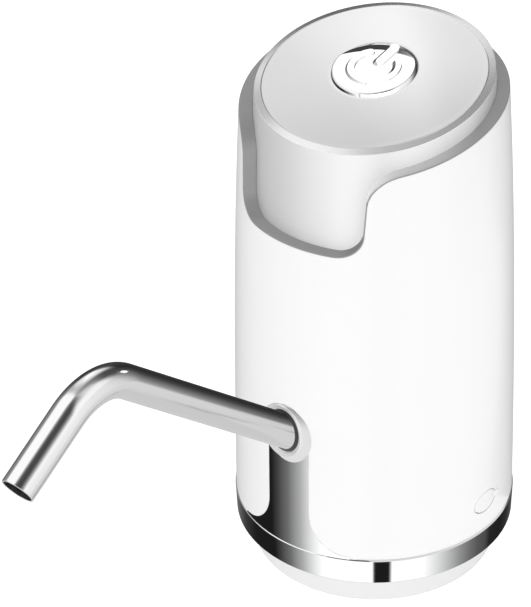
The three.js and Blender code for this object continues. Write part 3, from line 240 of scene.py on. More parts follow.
class MeshKit:
    """Makes meshes from bmesh operators and hands them over as finished pieces."""

    @staticmethod
    def lathe(profile: Pairs, corners: dict[int, float], steps: int, closed: bool = True) -> Mesh:
        """Turn a profile round the Z axis.

        Args:
            profile: pairs of radius and height.
            corners: rounding of the profile's points, by their index.
            steps: facets in a full turn.
            closed: whether the profile's last point joins its first.

        Returns:
            The turned mesh, in millimetres.
        """
        bm = bmesh.new()
        points = [bm.verts.new((0.0, -r, z)) for r, z in profile]
        ends = zip(points, points[1:] + points[:1]) if closed else zip(points, points[1:])
        for start, end in ends:
            bm.edges.new((start, end))
        for index, width in corners.items():
            bmesh.ops.bevel(bm, geom=[points[index]], offset=width, offset_type="OFFSET", segments=4,
                            profile=0.5, affect="VERTICES", material=-1)
        bmesh.ops.spin(bm, geom=bm.verts[:] + bm.edges[:], cent=(0, 0, 0), axis=(0, 0, 1), dvec=(0, 0, 0),
                       angle=2.0 * math.pi, steps=steps, use_merge=True, use_duplicate=False)
        bmesh.ops.remove_doubles(bm, verts=bm.verts[:], dist=TINY)
        return bm

    @staticmethod
    def grid(columns: int, rows: int) -> Mesh:
        """Make a flat grid one unit wide, centred on the origin, with a UV map that fills it."""
        bm = bmesh.new()
        bmesh.ops.create_grid(bm, x_segments=columns, y_segments=rows, size=0.5)
        uv = bm.loops.layers.uv.new("along")
        for face in bm.faces:
            for loop in face.loops:
                loop[uv].uv = (loop.vert.co.x + 0.5, loop.vert.co.y + 0.5)
        return bm

    @staticmethod
    def wrapped(columns: int, rows: int, place: Place, seamless_rows: bool = True) -> Mesh:
        """Wrap a grid round a form, so that its columns close on themselves.

        Args:
            columns: cells round the form.
            rows: cells along each column.
            place: gives the place of the point in a column and a row, in millimetres.
            seamless_rows: whether the last row joins the first.

        Returns:
            The wrapped mesh with a UV map that runs round and along it.
        """
        bm = MeshKit.grid(columns, rows)
        for vert in bm.verts:
            i = round((vert.co.x + 0.5) * columns)
            j = round((vert.co.y + 0.5) * rows)
            vert.co = place(i % columns, j % rows if seamless_rows else j)
        bmesh.ops.remove_doubles(bm, verts=bm.verts[:], dist=1e-4)
        return bm

    @staticmethod
    def capped(bm: Mesh) -> list[bmesh.types.BMFace]:
        """Close a mesh's open ends and return the faces that close them."""
        return bmesh.ops.holes_fill(bm, edges=[e for e in bm.edges if e.is_boundary], sides=0)["faces"]

    @staticmethod
    def rod(radius: float, length: float, facets: int) -> Mesh:
        """Make a round bar along the Z axis, centred on the origin."""
        bm = bmesh.new()
        bmesh.ops.create_cone(bm, cap_ends=True, segments=facets, radius1=radius, radius2=radius,
                              depth=length)
        return bm

    @staticmethod
    def prism(outline: Pairs, bottom: float, top: float, rounding: float) -> Mesh:
        """Extrude a flat outline and round its upper edge.

        Args:
            outline: the corners, anticlockwise seen from above.
            bottom: height of the lower face.
            top: height of the upper face.
            rounding: width of the upper edge's rounding.

        Returns:
            The prism, in millimetres.
        """
        bm = bmesh.new()
        face = bm.faces.new([bm.verts.new((x, y, bottom)) for x, y in outline])
        raised = bmesh.ops.extrude_face_region(bm, geom=[face])["geom"]
        upper = [v for v in raised if isinstance(v, bmesh.types.BMVert)]
        bmesh.ops.translate(bm, verts=upper, vec=(0, 0, top - bottom))
        bmesh.ops.recalc_face_normals(bm, faces=bm.faces[:])
        if rounding > 0.0:
            rim = [e for e in bm.edges if all(abs(v.co.z - top) < TINY for v in e.verts)]
            bmesh.ops.bevel(bm, geom=rim, offset=rounding, offset_type="OFFSET", segments=5, profile=0.5,
                            affect="EDGES", clamp_overlap=True, material=-1)
        return bm

    @staticmethod
    def merged(parts: Sequence[Mesh]) -> Mesh:
        """Put several meshes in one, and free the others."""
        whole = bmesh.new()
        for part in parts:
            scrap = bpy.data.meshes.new("scrap")
            part.to_mesh(scrap)
            whole.from_mesh(scrap)
            bpy.data.meshes.remove(scrap)
            part.free()
        return whole

    @staticmethod
    def placed(bm: Mesh, matrix: Matrix) -> Mesh:
        """Move a mesh by a matrix in millimetres."""
        bmesh.ops.transform(bm, matrix=matrix, verts=bm.verts[:])
        return bm

    @staticmethod
    def linked(name: str, bm: Mesh) -> Piece:
        """Put a mesh in metres into the scene as an object, and free it."""
        data = bpy.data.meshes.new(name)
        bm.to_mesh(data)
        bm.free()
        made = bpy.data.objects.new(name, data)
        bpy.context.scene.collection.objects.link(made)
        return made

    @staticmethod
    def discard(piece: Piece) -> None:
        """Remove a helper object together with its mesh."""
        data = piece.data
        bpy.data.objects.remove(piece)
        bpy.data.meshes.remove(data)

    @staticmethod
    def smooth(data: bpy.types.Mesh, sharp: float) -> None:
        """Shade a mesh smooth, apart from the edges past an angle in degrees."""
        data.polygons.foreach_set("use_smooth", [True] * len(data.polygons))
        data.set_sharp_from_angle(angle=math.radians(sharp))

    @staticmethod
    def mesh(name: str, bm: Mesh, sharp: float = 38.0) -> Piece:
        """Turn a mesh in millimetres into an object in metres.

        Args:
            name: the object's name.
            bm: the mesh, which is freed.
            sharp: angle in degrees past which an edge is drawn sharp.

        Returns:
            The object, linked to the scene.
        """
        bmesh.ops.scale(bm, vec=(MM, MM, MM), verts=bm.verts[:])
        bmesh.ops.recalc_face_normals(bm, faces=bm.faces[:])
        if bm.calc_volume() < 0.0:
            bmesh.ops.reverse_faces(bm, faces=bm.faces[:])
        piece = MeshKit.linked(name, bm)
        MeshKit.smooth(piece.data, sharp)
        return piece

    @staticmethod
    def cut(piece: Piece, cutters: Sequence[Mesh], sharp: float = 38.0) -> None:
        """Cut closed meshes, in millimetres, out of a piece."""
        for bm in cutters:
            cutter = MeshKit.mesh("cutter", bm)
            boolean = piece.modifiers.new("cut", "BOOLEAN")
            boolean.operation = "DIFFERENCE"
            boolean.solver = "EXACT"
            boolean.object = cutter
            shape = piece.evaluated_get(bpy.context.evaluated_depsgraph_get())
            data = bpy.data.meshes.new_from_object(shape)
            piece.modifiers.remove(boolean)
            old = piece.data
            piece.data = data
            bpy.data.meshes.remove(old)
            MeshKit.discard(cutter)
        piece.data.name = piece.name
        MeshKit.smooth(piece.data, sharp)


def finished(piece: Piece, body: str, slot: Slot, finish: Finish, *nodes: str) -> Piece:
    """Dress a piece, tie it to its body and hide the nodes that it stands for.

    Args:
        piece: the object.
        body: the rigid body that it rides on.
        slot: its slot in the record; not used.
        finish: its finish.
        nodes: the solids that it replaces.

    Returns:
        The same object.
    """
    piece.data.materials.clear()
    piece.data.materials.append(finish.material())
    even = piece.modifiers.new("even", "WEIGHTED_NORMAL")
    even.keep_sharp = True
    piece.visible_glossy = False
    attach(piece, body)
    if nodes:
        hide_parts(*nodes)
    LOG.info("%s: %d faces on %s", piece.name, len(piece.data.polygons), body)
    return piece


# Shader nodes


class Shading:
    """Places and links the nodes of one shader tree."""

    def __init__(self, tree: Tree) -> None:
        """Keep the tree that the nodes go into."""
        self.tree = tree

    @classmethod
    def material(cls, name: str) -> tuple[bpy.types.Material, Shading, Node]:
        """Return a new material, its tree and its main shader."""
        made = bpy.data.materials.new(name)
        made.use_nodes = True
        return made, cls(made.node_tree), made.node_tree.nodes["Principled BSDF"]

    def feed(self, node: Node, values: dict[str | int, object]) -> None:
        """Fill a node's inputs: those that are given a socket are linked, and the others set."""
        for key, value in values.items():
            if isinstance(value, Socket):
                self.tree.links.new(value, node.inputs[key])
            else:
                node.inputs[key].default_value = value

    def node(self, kind: str, values: dict[str | int, object] | None = None, **settings: object) -> Node:
        """Add a node.

        Args:
            kind: the node's type.
            values: what its inputs are linked or set to.
            settings: its own properties.

        Returns:
            The node.
        """
        made = self.tree.nodes.new(kind)
        for key, value in settings.items():
            setattr(made, key, value)
        self.feed(made, values or {})
        return made

    def math(self, operation: str, first: object, second: object = 0.0) -> Socket:
        """Add a Math node on two numbers or sockets and return its result."""
        return self.node("ShaderNodeMath", {0: first, 1: second}, operation=operation).outputs[0]


class Effects:
    """Node groups that several finishes share, each made once."""

    made: dict[str, Tree] = {}

    @classmethod
    def group(cls, name: str, inputs: dict[str, float | None], output: tuple[str, str],
              fill: Callable[[Shading, Given], Socket]) -> Tree:
        """Return a group by name, made on its first use.

        Args:
            name: the group's name.
            inputs: starting value of each input, or None for a vector.
            output: name and socket type of what the group puts out.
            fill: adds the nodes behind the group's inputs and returns the last one's socket.

        Returns:
            The node group.
        """
        if name not in cls.made:
            tree = bpy.data.node_groups.new(name, "ShaderNodeTree")
            for key, value in inputs.items():
                kind = "NodeSocketVector" if value is None else "NodeSocketFloat"
                socket = tree.interface.new_socket(name=key, in_out="INPUT", socket_type=kind)
                if value is not None:
                    socket.default_value = value
            tree.interface.new_socket(name=output[0], in_out="OUTPUT", socket_type=output[1])
            kit = Shading(tree)
            kit.node("NodeGroupOutput", {output[0]: fill(kit, kit.node("NodeGroupInput").outputs)})
            cls.made[name] = tree
        return cls.made[name]

    @classmethod
    def mottle(cls) -> Tree:
        """Return the group that drifts a value between two limits over the surface."""

        def fill(kit: Shading, given: Given) -> Socket:
            """Spread a noise between the limits."""
            noise = kit.node("ShaderNodeTexNoise", {
                "Vector": given["Vector"], "Scale": given["Scale"], "Detail": 2.0})
            spread = kit.node("ShaderNodeMapRange", {
                "Value": noise.outputs["Fac"], "To Min": given["Low"], "To Max": given["High"]}, clamp=False)
            return spread.outputs["Result"]

        inputs = {"Vector": None, "Scale": 80.0, "Low": 0.2, "High": 0.3}
        return cls.group("mottle", inputs, ("Value", "NodeSocketFloat"), fill)

    @classmethod
    def relief(cls) -> Tree:
        """Return the group that gives a surface its fine moulded or ground relief."""

        def fill(kit: Shading, given: Given) -> Socket:
            """Raise the surface by a noise."""
            noise = kit.node("ShaderNodeTexNoise", {
                "Vector": given["Vector"], "Scale": given["Scale"], "Detail": 3.0})
            bump = kit.node("ShaderNodeBump", {
                "Distance": 0.0001, "Height": noise.outputs["Fac"], "Strength": given["Strength"]})
            return bump.outputs["Normal"]

        inputs = {"Vector": None, "Scale": 400.0, "Strength": 0.05}
        return cls.group("relief", inputs, ("Normal", "NodeSocketVector"), fill)

    @classmethod
    def grind(cls) -> Tree:
        """Return the group of fine polishing lines along a tube."""

        def fill(kit: Shading, given: Given) -> Socket:
            """Stretch a noise into lines."""
            stretch = kit.node("ShaderNodeVectorMath", {0: given["Vector"], 1: given["Stretch"]},
                               operation="MULTIPLY")
            noise = kit.node("ShaderNodeTexNoise", {
                "Vector": stretch.outputs[0], "Scale": 1.0, "Detail": 5.0})
            return noise.outputs["Fac"]

        return cls.group("grind", {"Vector": None, "Stretch": None}, ("Value", "NodeSocketFloat"), fill)


# Finishes


@dataclass(frozen=True)
class Finish:
    """A plain finish: an even colour with a drifting gloss and a fine relief."""

    name: str
    colour: tuple[float, float, float]
    metallic: float = 0.0
    gloss: tuple[float, float] = (0.25, 0.32)
    drift_scale: float = 60.0
    tint_scale: float = 0.4
    relief_scale: float = 900.0
    relief_strength: float = 0.04
    tint: float = 0.02
    coat: float = 0.0
    coat_roughness: float = 0.05
    ior: float = 1.46
    sheen: float = 0.0
    subsurface: float = 0.0

    def material(self) -> bpy.types.Material:
        """Return the material, made once for each finish."""
        known = bpy.data.materials.get(self.name)
        if known:
            return known
        material, kit, shader = Shading.material(self.name)
        kit.feed(shader, {
            "Base Color": (*self.colour, 1.0), "Metallic": self.metallic, "IOR": self.ior,
            "Coat Weight": self.coat, "Coat Roughness": self.coat_roughness, "Sheen Weight": self.sheen,
            "Subsurface Weight": self.subsurface, "Subsurface Radius": (0.002, 0.002, 0.002)})
        self.dress(kit, shader, kit.node("ShaderNodeTexCoord").outputs)
        return material

    def drift(self, kit: Shading, coords: Given, scale: float, limits: tuple[float, float]) -> Socket:
        """Return a value that drifts between two limits over the surface."""
        return kit.node("ShaderNodeGroup", {
            "Vector": coords["Object"], "Scale": scale, "Low": limits[0], "High": limits[1]},
            node_tree=Effects.mottle()).outputs["Value"]

    def dress(self, kit: Shading, shader: Node, coords: Given) -> None:
        """Drift the gloss and the colour over the surface and add the relief.

        Args:
            kit: the material's tree.
            shader: its main shader.
            coords: its coordinates.
        """
        shade = self.drift(kit, coords, self.drift_scale * self.tint_scale, (1.0 - self.tint, 1.0))
        tinted = kit.node("ShaderNodeMix", {"Factor": 1.0, "A": (*self.colour, 1.0), "B": shade},
                          data_type="RGBA", blend_type="MULTIPLY")
        relief = kit.node("ShaderNodeGroup", {
            "Vector": coords["Object"], "Scale": self.relief_scale, "Strength": self.relief_strength},
            node_tree=Effects.relief())
        kit.feed(shader, {
            "Roughness": self.drift(kit, coords, self.drift_scale, self.gloss),
            "Base Color": tinted.outputs["Result"], "Normal": relief.outputs["Normal"]})


@dataclass(frozen=True)
class GroundSteel(Finish):
    """Metal with polishing lines that follow the piece's own UV map."""

    lines: tuple[float, float] = (70.0, 4.0)
    line_depth: float = 0.25

    def dress(self, kit: Shading, shader: Node, coords: Given) -> None:
        """Run the polishing lines through the gloss and the relief."""
        grind = kit.node("ShaderNodeGroup", {"Vector": coords["UV"], "Stretch": (*self.lines, 1.0)},
                         node_tree=Effects.grind()).outputs["Value"]
        spread = kit.node("ShaderNodeMapRange", {
            "Value": grind, "From Min": 0.3, "From Max": 0.7,
            "To Min": self.gloss[0], "To Max": self.gloss[1]})
        bump = kit.node("ShaderNodeBump", {"Distance": 0.00005, "Strength": self.line_depth, "Height": grind})
        kit.feed(shader, {"Roughness": spread.outputs["Result"], "Normal": bump.outputs["Normal"]})


@dataclass(frozen=True)
class CircuitBoard(Finish):
    """Solder mask with copper tracks under it."""

    cells: float = 320.0
    glow: float = 2.4

    def dress(self, kit: Shading, shader: Node, coords: Given) -> None:
        """Draw the tracks as a pattern of cells, lighter than the mask."""
        cells = kit.node("ShaderNodeTexVoronoi", {"Vector": coords["Object"], "Scale": self.cells},
                         feature="DISTANCE_TO_EDGE", distance="CHEBYCHEV")
        mask = kit.node("ShaderNodeMapRange", {
            "Value": cells.outputs["Distance"], "From Min": 0.04, "From Max": 0.07})
        mix = kit.node("ShaderNodeMix", {
            "Factor": mask.outputs["Result"], "A": (*(min(1.0, c * self.glow) for c in self.colour), 1.0),
            "B": (*self.colour, 1.0)}, data_type="RGBA")
        kit.feed(shader, {"Base Color": mix.outputs["Result"],
                          "Roughness": self.drift(kit, coords, self.drift_scale, self.gloss)})


PLAIN = {"relief_strength": 0.0, "tint": 0.0}
SHELL_WHITE = Finish("glossy_white_shell", (0.87, 0.87, 0.87), gloss=(0.265, 0.275), **PLAIN)
COLLAR_WHITE = Finish("glossy_white_collar", (0.78, 0.78, 0.78), gloss=(0.28, 0.3), **PLAIN)
CAP_SILVER = Finish("satin_silver_cap", (0.91, 0.91, 0.91), metallic=0.52, gloss=(0.37, 0.4), **PLAIN)
BEVEL_SILVER = Finish("bright_silver_bevel", (0.86, 0.86, 0.86), metallic=0.85, gloss=(0.1, 0.12), **PLAIN)
BAND_SILVER = Finish("satin_silver_band", (0.36, 0.36, 0.365), metallic=0.4, gloss=(0.46, 0.5),
                     relief_strength=0.008)
PANEL_PEARL = Finish("pearl_panel", (0.80, 0.80, 0.80), metallic=0.6, gloss=(0.11, 0.12), **PLAIN)
TRIM_CHROME = Finish("chrome_plating", (0.93, 0.935, 0.94), metallic=1.0, gloss=(0.03, 0.05),
                     relief_strength=0.002, drift_scale=140.0, tint=0.01)
BEZEL_CHROME = Finish("bezel_plating", (0.84, 0.84, 0.845), metallic=0.45, gloss=(0.26, 0.32),
                      relief_strength=0.01, drift_scale=140.0, tint=0.01)
BUTTON_CHROME = Finish("button_plating", (0.95, 0.955, 0.96), metallic=1.0, gloss=(0.03, 0.05),
                       relief_strength=0.002, drift_scale=160.0, tint=0.01)
TUBE_STEEL = GroundSteel("polished_steel_tube", (0.88, 0.88, 0.88), metallic=1.0, gloss=(0.11, 0.2))
SILICONE = Finish("milky_silicone", (0.80, 0.80, 0.79), gloss=(0.45, 0.55), subsurface=0.2,
                  relief_strength=0.06, ior=1.41)
COVER_WHITE = Finish("soft_white_cover", (0.86, 0.86, 0.86), gloss=(0.35, 0.42),
                     relief_strength=0.05, ior=1.41)
RUBBER = Finish("black_rubber", (0.025, 0.025, 0.027), gloss=(0.6, 0.75), relief_strength=0.15,
                relief_scale=700.0, sheen=0.1)
PALE_PLASTIC = Finish("moulded_pale_plastic", (0.76, 0.76, 0.74), gloss=(0.4, 0.5), relief_strength=0.08)
# Also lines the outlet bezel's bore and the ring round the tube, where its dark colour is painted shade.
DARK_PLASTIC_AND_BORE_SHADE = Finish("moulded_dark_plastic_and_bore_shade", (0.035, 0.036, 0.04), gloss=(0.4, 0.52), relief_strength=0.1)
PLAIN_STEEL = Finish("plain_steel", (0.58, 0.59, 0.60), metallic=1.0, gloss=(0.22, 0.34),
                     relief_strength=0.03)
BOARD_GREEN = CircuitBoard("solder_mask", (0.02, 0.11, 0.04), gloss=(0.25, 0.35), drift_scale=200.0)
CELL_WRAP = Finish("cell_film", (0.05, 0.19, 0.45), gloss=(0.25, 0.4), relief_strength=0.06, coat=0.3)
FOAM = Finish("closed_cell_foam", (0.09, 0.09, 0.09), gloss=(0.85, 0.95),
              relief_strength=0.6, relief_scale=1500.0)


# Sub-assemblies


@dataclass(frozen=True)
class PortStrap:
    """The soft strap that holds the port's cover, in a shallow notch of the shell."""

    height: float = 25.2
    start: float = 3.7
    centre: float = 5.1
    half: float = 0.8
    low: float = 35.2
    high: float = 35.84
    play: float = 0.1
    rounding: float = 0.12
    steps: int = 16

    @property
    def turn(self) -> Matrix:
        """Return the matrix that lays the XY plane against the port's side of the body."""
        return (Matrix.Translation((0.0, 0.0, self.height)) @ Matrix.Rotation(QUARTER, 4, "Z")
                @ Matrix.Rotation(QUARTER, 4, "X"))

    def block(self, play: float) -> Mesh:
        """Return the strap, or the notch that takes it when there is play.

        Args:
            play: how far the notch stands off the strap, or 0 for the strap itself.

        Returns:
            The closed form, in the part's frame.
        """
        half = self.half + play
        outline = [(self.start, -half)]
        outline += [(self.centre + half * math.sin(math.pi * s), -half * math.cos(math.pi * s))
                    for s in eased(self.steps)]
        outline.append((self.start, half))
        if play > 0.0:
            bm = MeshKit.prism(outline, self.low - play, BODY.foot_radius + CUT_CLEAR, 0.0)
        else:
            bm = MeshKit.prism(outline, self.low, self.high, self.rounding)
        return MeshKit.placed(bm, self.turn)


PORT_STRAP = PortStrap()


@dataclass
class EdgeOutline:
    """The edge that the shell is cut to round the cap, unrolled: an arc length and a height."""

    visor_bottom: float = 106.8
    half_width: float = 16.8
    arc_radius: float = 30.0
    lean: float = 0.07
    corner: float = 6.6
    shoulder: float = 9.4
    side_drop: float = 4.4
    end_drop: float = 5.8
    steps: tuple[int, int, int, int, int] = (10, 12, 10, 16, 64)
    rounds: int = 60
    probe: float = 0.3
    points: list[tuple[float, float, float, float]] = field(default_factory=list)

    def height(self, arc: float) -> float:
        """Return the ledge's height beside the visor and at the back."""
        angle = arc / self.arc_radius
        drop = self.side_drop + (self.end_drop - self.side_drop) * math.cos(angle) ** 2
        return BODY.slanted(BODY.rim_height, BODY.rim_radius, angle) - drop

    def slope(self, arc: float) -> float:
        """Return the ledge's slope along the arc."""
        return (self.height(arc + self.probe) - self.height(arc - self.probe)) / (2.0 * self.probe)

    def __post_init__(self) -> None:
        """Lay out the points of one half, each with the direction into the shell, then mirror it."""
        stretch = math.hypot(1.0, self.lean)
        tip = math.atan(self.lean)
        flat, corner, side, shoulder, back = self.steps
        half: list[tuple[float, float, float, float]] = []
        centre = self.half_width + (self.lean - stretch) * self.corner
        for share in eased(flat)[:-1]:
            half.append((centre * share, self.visor_bottom, 0.0, -1.0))
        for share in eased(corner):
            a = -QUARTER + (QUARTER - tip) * share
            half.append((centre + self.corner * math.cos(a),
                         self.visor_bottom + self.corner * (1.0 + math.sin(a)), math.cos(a), math.sin(a)))
        z = self.visor_bottom + self.shoulder
        arc = 0.0
        for _ in range(self.rounds):
            arc = self.half_width + self.lean * (z - self.visor_bottom) + self.shoulder * stretch
            z += (self.height(arc) - self.shoulder * math.hypot(1.0, self.slope(arc)) - z) / 2.0
        start = math.pi - tip
        end = QUARTER + math.atan(self.slope(arc))
        first = (arc + self.shoulder * math.cos(start), z + self.shoulder * math.sin(start))
        last = half[-1]
        for share in eased(side)[1:-1]:
            half.append((last[0] + (first[0] - last[0]) * share, last[1] + (first[1] - last[1]) * share,
                         math.cos(tip), -math.sin(tip)))
        for share in eased(shoulder):
            a = start + (end - start) * share
            half.append((arc + self.shoulder * math.cos(a), z + self.shoulder * math.sin(a),
                         -math.cos(a), -math.sin(a)))
        begin = half[-1][0]
        for share in eased(back)[1:]:
            at = begin + (self.arc_radius * math.pi - begin) * share
            tilt = self.slope(at)
            length = math.hypot(1.0, tilt)
            half.append((at, self.height(at), tilt / length, -1.0 / length))
        mirrored = [(-a, h, -u, v) for a, h, u, v in reversed(half[1:-1])]
        self.points = half + mirrored

    def inset(self, column: int, distance: float) -> tuple[float, float]:
        """Return the angle and height of a point moved into the shell from the edge."""
        arc, z, across, along = self.points[column]
        return (arc + across * distance) / self.arc_radius, z + along * distance


@dataclass
class Shell:
    """The white outer shell and the silver band on its edge."""

    rounding: float = 0.16
    band: float = 0.26
    seam: float = 0.05
    clearance: float = 0.06
    port_half: tuple[float, float] = (4.6, 3.1)
    port_reach: float = 20.0
    port_facets: int = 64
    near_rows: tuple[float, ...] = (0.0, 0.004, 0.012)
    rows: tuple[int, int] = (48, 20)
    row_starts: tuple[float, float] = (0.03, 0.05)
    lip_shares: tuple[float, float] = (0.04, 0.09)
    outline: EdgeOutline = field(default_factory=EdgeOutline)

    def path(self, column: int, distance: float, share: float) -> tuple[float, float]:
        """Return the angle and height of a point between the edge and the shell's foot.

        Args:
            column: the column of the outline.
            distance: how far from the edge the column starts down.
            share: 0 at that start and 1 at the foot.

        Returns:
            The angle and the height.
        """
        count = len(self.outline.points)
        angle, z = self.outline.inset(column, distance)
        foot = 2.0 * math.pi * column / count
        if column > count // 2:
            foot -= 2.0 * math.pi
        return angle + (foot - angle) * share, z + (BODY.foot_height - z) * share

    def shell(self) -> Piece:
        """Make the shell as one closed wall, then cut the port and the outlet's bore."""
        top = self.band + self.seam
        outer, inner = ([start + (1.0 - start) * s for s in eased(count)]
                        for start, count in zip(self.row_starts, self.rows))
        rows = [("out", s) for s in reversed([*self.near_rows, *outer])] + [("in", s) for s in [0.0, *inner]]

        def place(i: int, j: int) -> Vector:
            """Return a point of the wall: down the outside, or up the inside behind the lip."""
            side, share = rows[j]
            angle, z = self.path(i, top, share)
            if side == "out":
                return around(BODY.shell_radius(z), angle, z)
            lip = BODY.cap_radius(z, angle) + self.clearance
            wall = BODY.shell_radius(z) - BODY.wall
            near, far = self.lip_shares
            return around(lip if share < near else max(lip, wall) if share < far else wall, angle, z)

        shell = MeshKit.mesh("shell", MeshKit.wrapped(len(self.outline.points), len(rows), place))
        MeshKit.cut(shell, [self.port_cutter(), PORT_STRAP.block(PORT_STRAP.play), OUTLET.opening()])
        return finished(shell, "body", Slot.SHELL, SHELL_WHITE, "outer_shell")

    def port_cutter(self) -> Mesh:
        """Return the oval that opens the charging port."""
        wide, tall = self.port_half
        outline = [(wide * math.cos(a), tall * math.sin(a)) for a in turns(self.port_facets)]
        bm = MeshKit.prism(outline, self.port_reach, BODY.foot_radius + CUT_CLEAR, 0.0)
        return MeshKit.placed(bm, PORT_STRAP.turn)

    def edge_band(self) -> Piece:
        """Make the silver band on the shell's edge."""
        e = self.rounding
        steps = [s * QUARTER for s in eased(4)]
        across = (0.25, 0.5, 0.75)
        rows: list[tuple[float, float]] = [(self.band, 0.0)]
        rows += [(e * (1.0 - math.sin(a)), e * (1.0 - math.cos(a))) for a in steps]
        rows += [(0.0, share) for share in across]
        rows += [(e * (1.0 - math.cos(a)), -e * (1.0 - math.sin(a))) for a in steps]
        rows += [(self.band, 0.0)]
        outer = 1 + len(steps)

        def place(i: int, j: int) -> Vector:
            """Return a point of the band: outer side, edge and inner side in turn."""
            distance, depth = rows[j]
            angle, z = self.outline.inset(i, distance)
            out = BODY.shell_radius(z)
            inside = BODY.cap_radius(z, angle) + self.clearance
            if j < outer:
                return around(out - depth, angle, z)
            if j < outer + len(across):
                return around(out - e + (inside - out + 2.0 * e) * depth, angle, z)
            return around(inside - depth, angle, z)

        band = MeshKit.mesh("edge_band_silver", MeshKit.wrapped(len(self.outline.points), len(rows), place))
        return finished(band, "body", Slot.CAP, BAND_SILVER, "edge_band")


@dataclass
class Cap:
    """The silver cap with its slanted rim, and the panel let into it."""

    columns: int = 192
    rounding: float = 0.12
    wall: float = 2.0
    seat: float = 2.3
    shelf: float = 2.4
    panel_gap: float = 0.04
    panel_thickness: float = 2.0
    panel_rounding: float = 0.12
    panel_edge: float = 0.6
    crest: float = 0.2
    side_rows: int = 14
    dome_rings: int = 16
    hole: float = 10.68
    bevel_facing: float = 0.6

    def section(self, angle: float) -> list[tuple[float, float]]:
        """Return the cap's closed section at an angle, as radius and height."""
        rim = BODY.slanted(BODY.rim_height, BODY.rim_radius, angle)
        top = BODY.rim_height + BODY.bevel_rise
        e = self.rounding
        side = [BODY.skirt_bottom + (rim - e - BODY.skirt_bottom) * s for s in eased(self.side_rows)]
        points = [(BODY.cap_radius(z, angle), z) for z in side]
        slope = math.atan2(BODY.bevel_rise, BODY.rim_radius - BODY.bevel_radius)
        for share in eased(4)[1:]:
            a = (QUARTER - slope) * share
            points.append((BODY.rim_radius - e * (1.0 - math.cos(a)), rim - e + e * math.sin(a)))
        inner = BODY.bevel_radius
        floor = top - self.seat
        points += [(inner + e, BODY.slanted(top, inner, angle) - e * self.crest),
                   (inner, BODY.slanted(top, inner, angle) - e),
                   (inner, BODY.slanted(floor, inner, angle)),
                   (inner - self.shelf, BODY.slanted(floor, inner, angle)),
                   (inner - self.shelf, BODY.slanted(floor - self.wall, inner, angle))]
        low = BODY.slanted(floor - 2.0 * self.wall, inner, angle)
        points += [(BODY.cap_radius(low, angle) - self.wall, low),
                   (BODY.cap_radius(BODY.skirt_bottom, angle) - self.wall, BODY.skirt_bottom)]
        return points

    def cap(self) -> Piece:
        """Make the cap, with its bevel brighter than its side."""
        angles = turns(self.columns)
        sections = [self.section(a) for a in angles]

        def place(i: int, j: int) -> Vector:
            """Return a point of a column's section."""
            r, z = sections[i][j]
            return around(r, angles[i], z)

        bm = MeshKit.wrapped(self.columns, len(sections[0]), place)
        piece = finished(MeshKit.mesh("cap", bm, sharp=25.0), "body", Slot.CAP, CAP_SILVER, "top_cap")
        piece.data.materials.append(BEVEL_SILVER.material())
        for face in piece.data.polygons:
            reach = math.hypot(face.center.x, face.center.y) / MM
            if face.normal.z > self.bevel_facing and BODY.bevel_radius < reach < BODY.rim_radius:
                face.material_index = 1
        return piece

    def panel(self) -> Piece:
        """Make the panel as a turned plate that is then slanted."""
        outer = BODY.bevel_radius - self.panel_gap
        top = BODY.top
        low = top - self.panel_thickness
        start = outer - self.panel_edge
        rings = [start + (self.hole - start) * share for share in eased(self.dome_rings)]
        profile = [(self.hole, low), (outer, low), (outer, top)] + [(r, top + BODY.domed(r)) for r in rings]
        corners = {2: self.panel_rounding, len(profile) - 1: self.panel_rounding}
        bm = MeshKit.lathe(profile, corners, self.columns)
        for vert in bm.verts:
            vert.co.z += BODY.tilt * vert.co.y
        return finished(MeshKit.mesh("panel", bm), "body", Slot.PANEL, PANEL_PEARL, "top_panel")


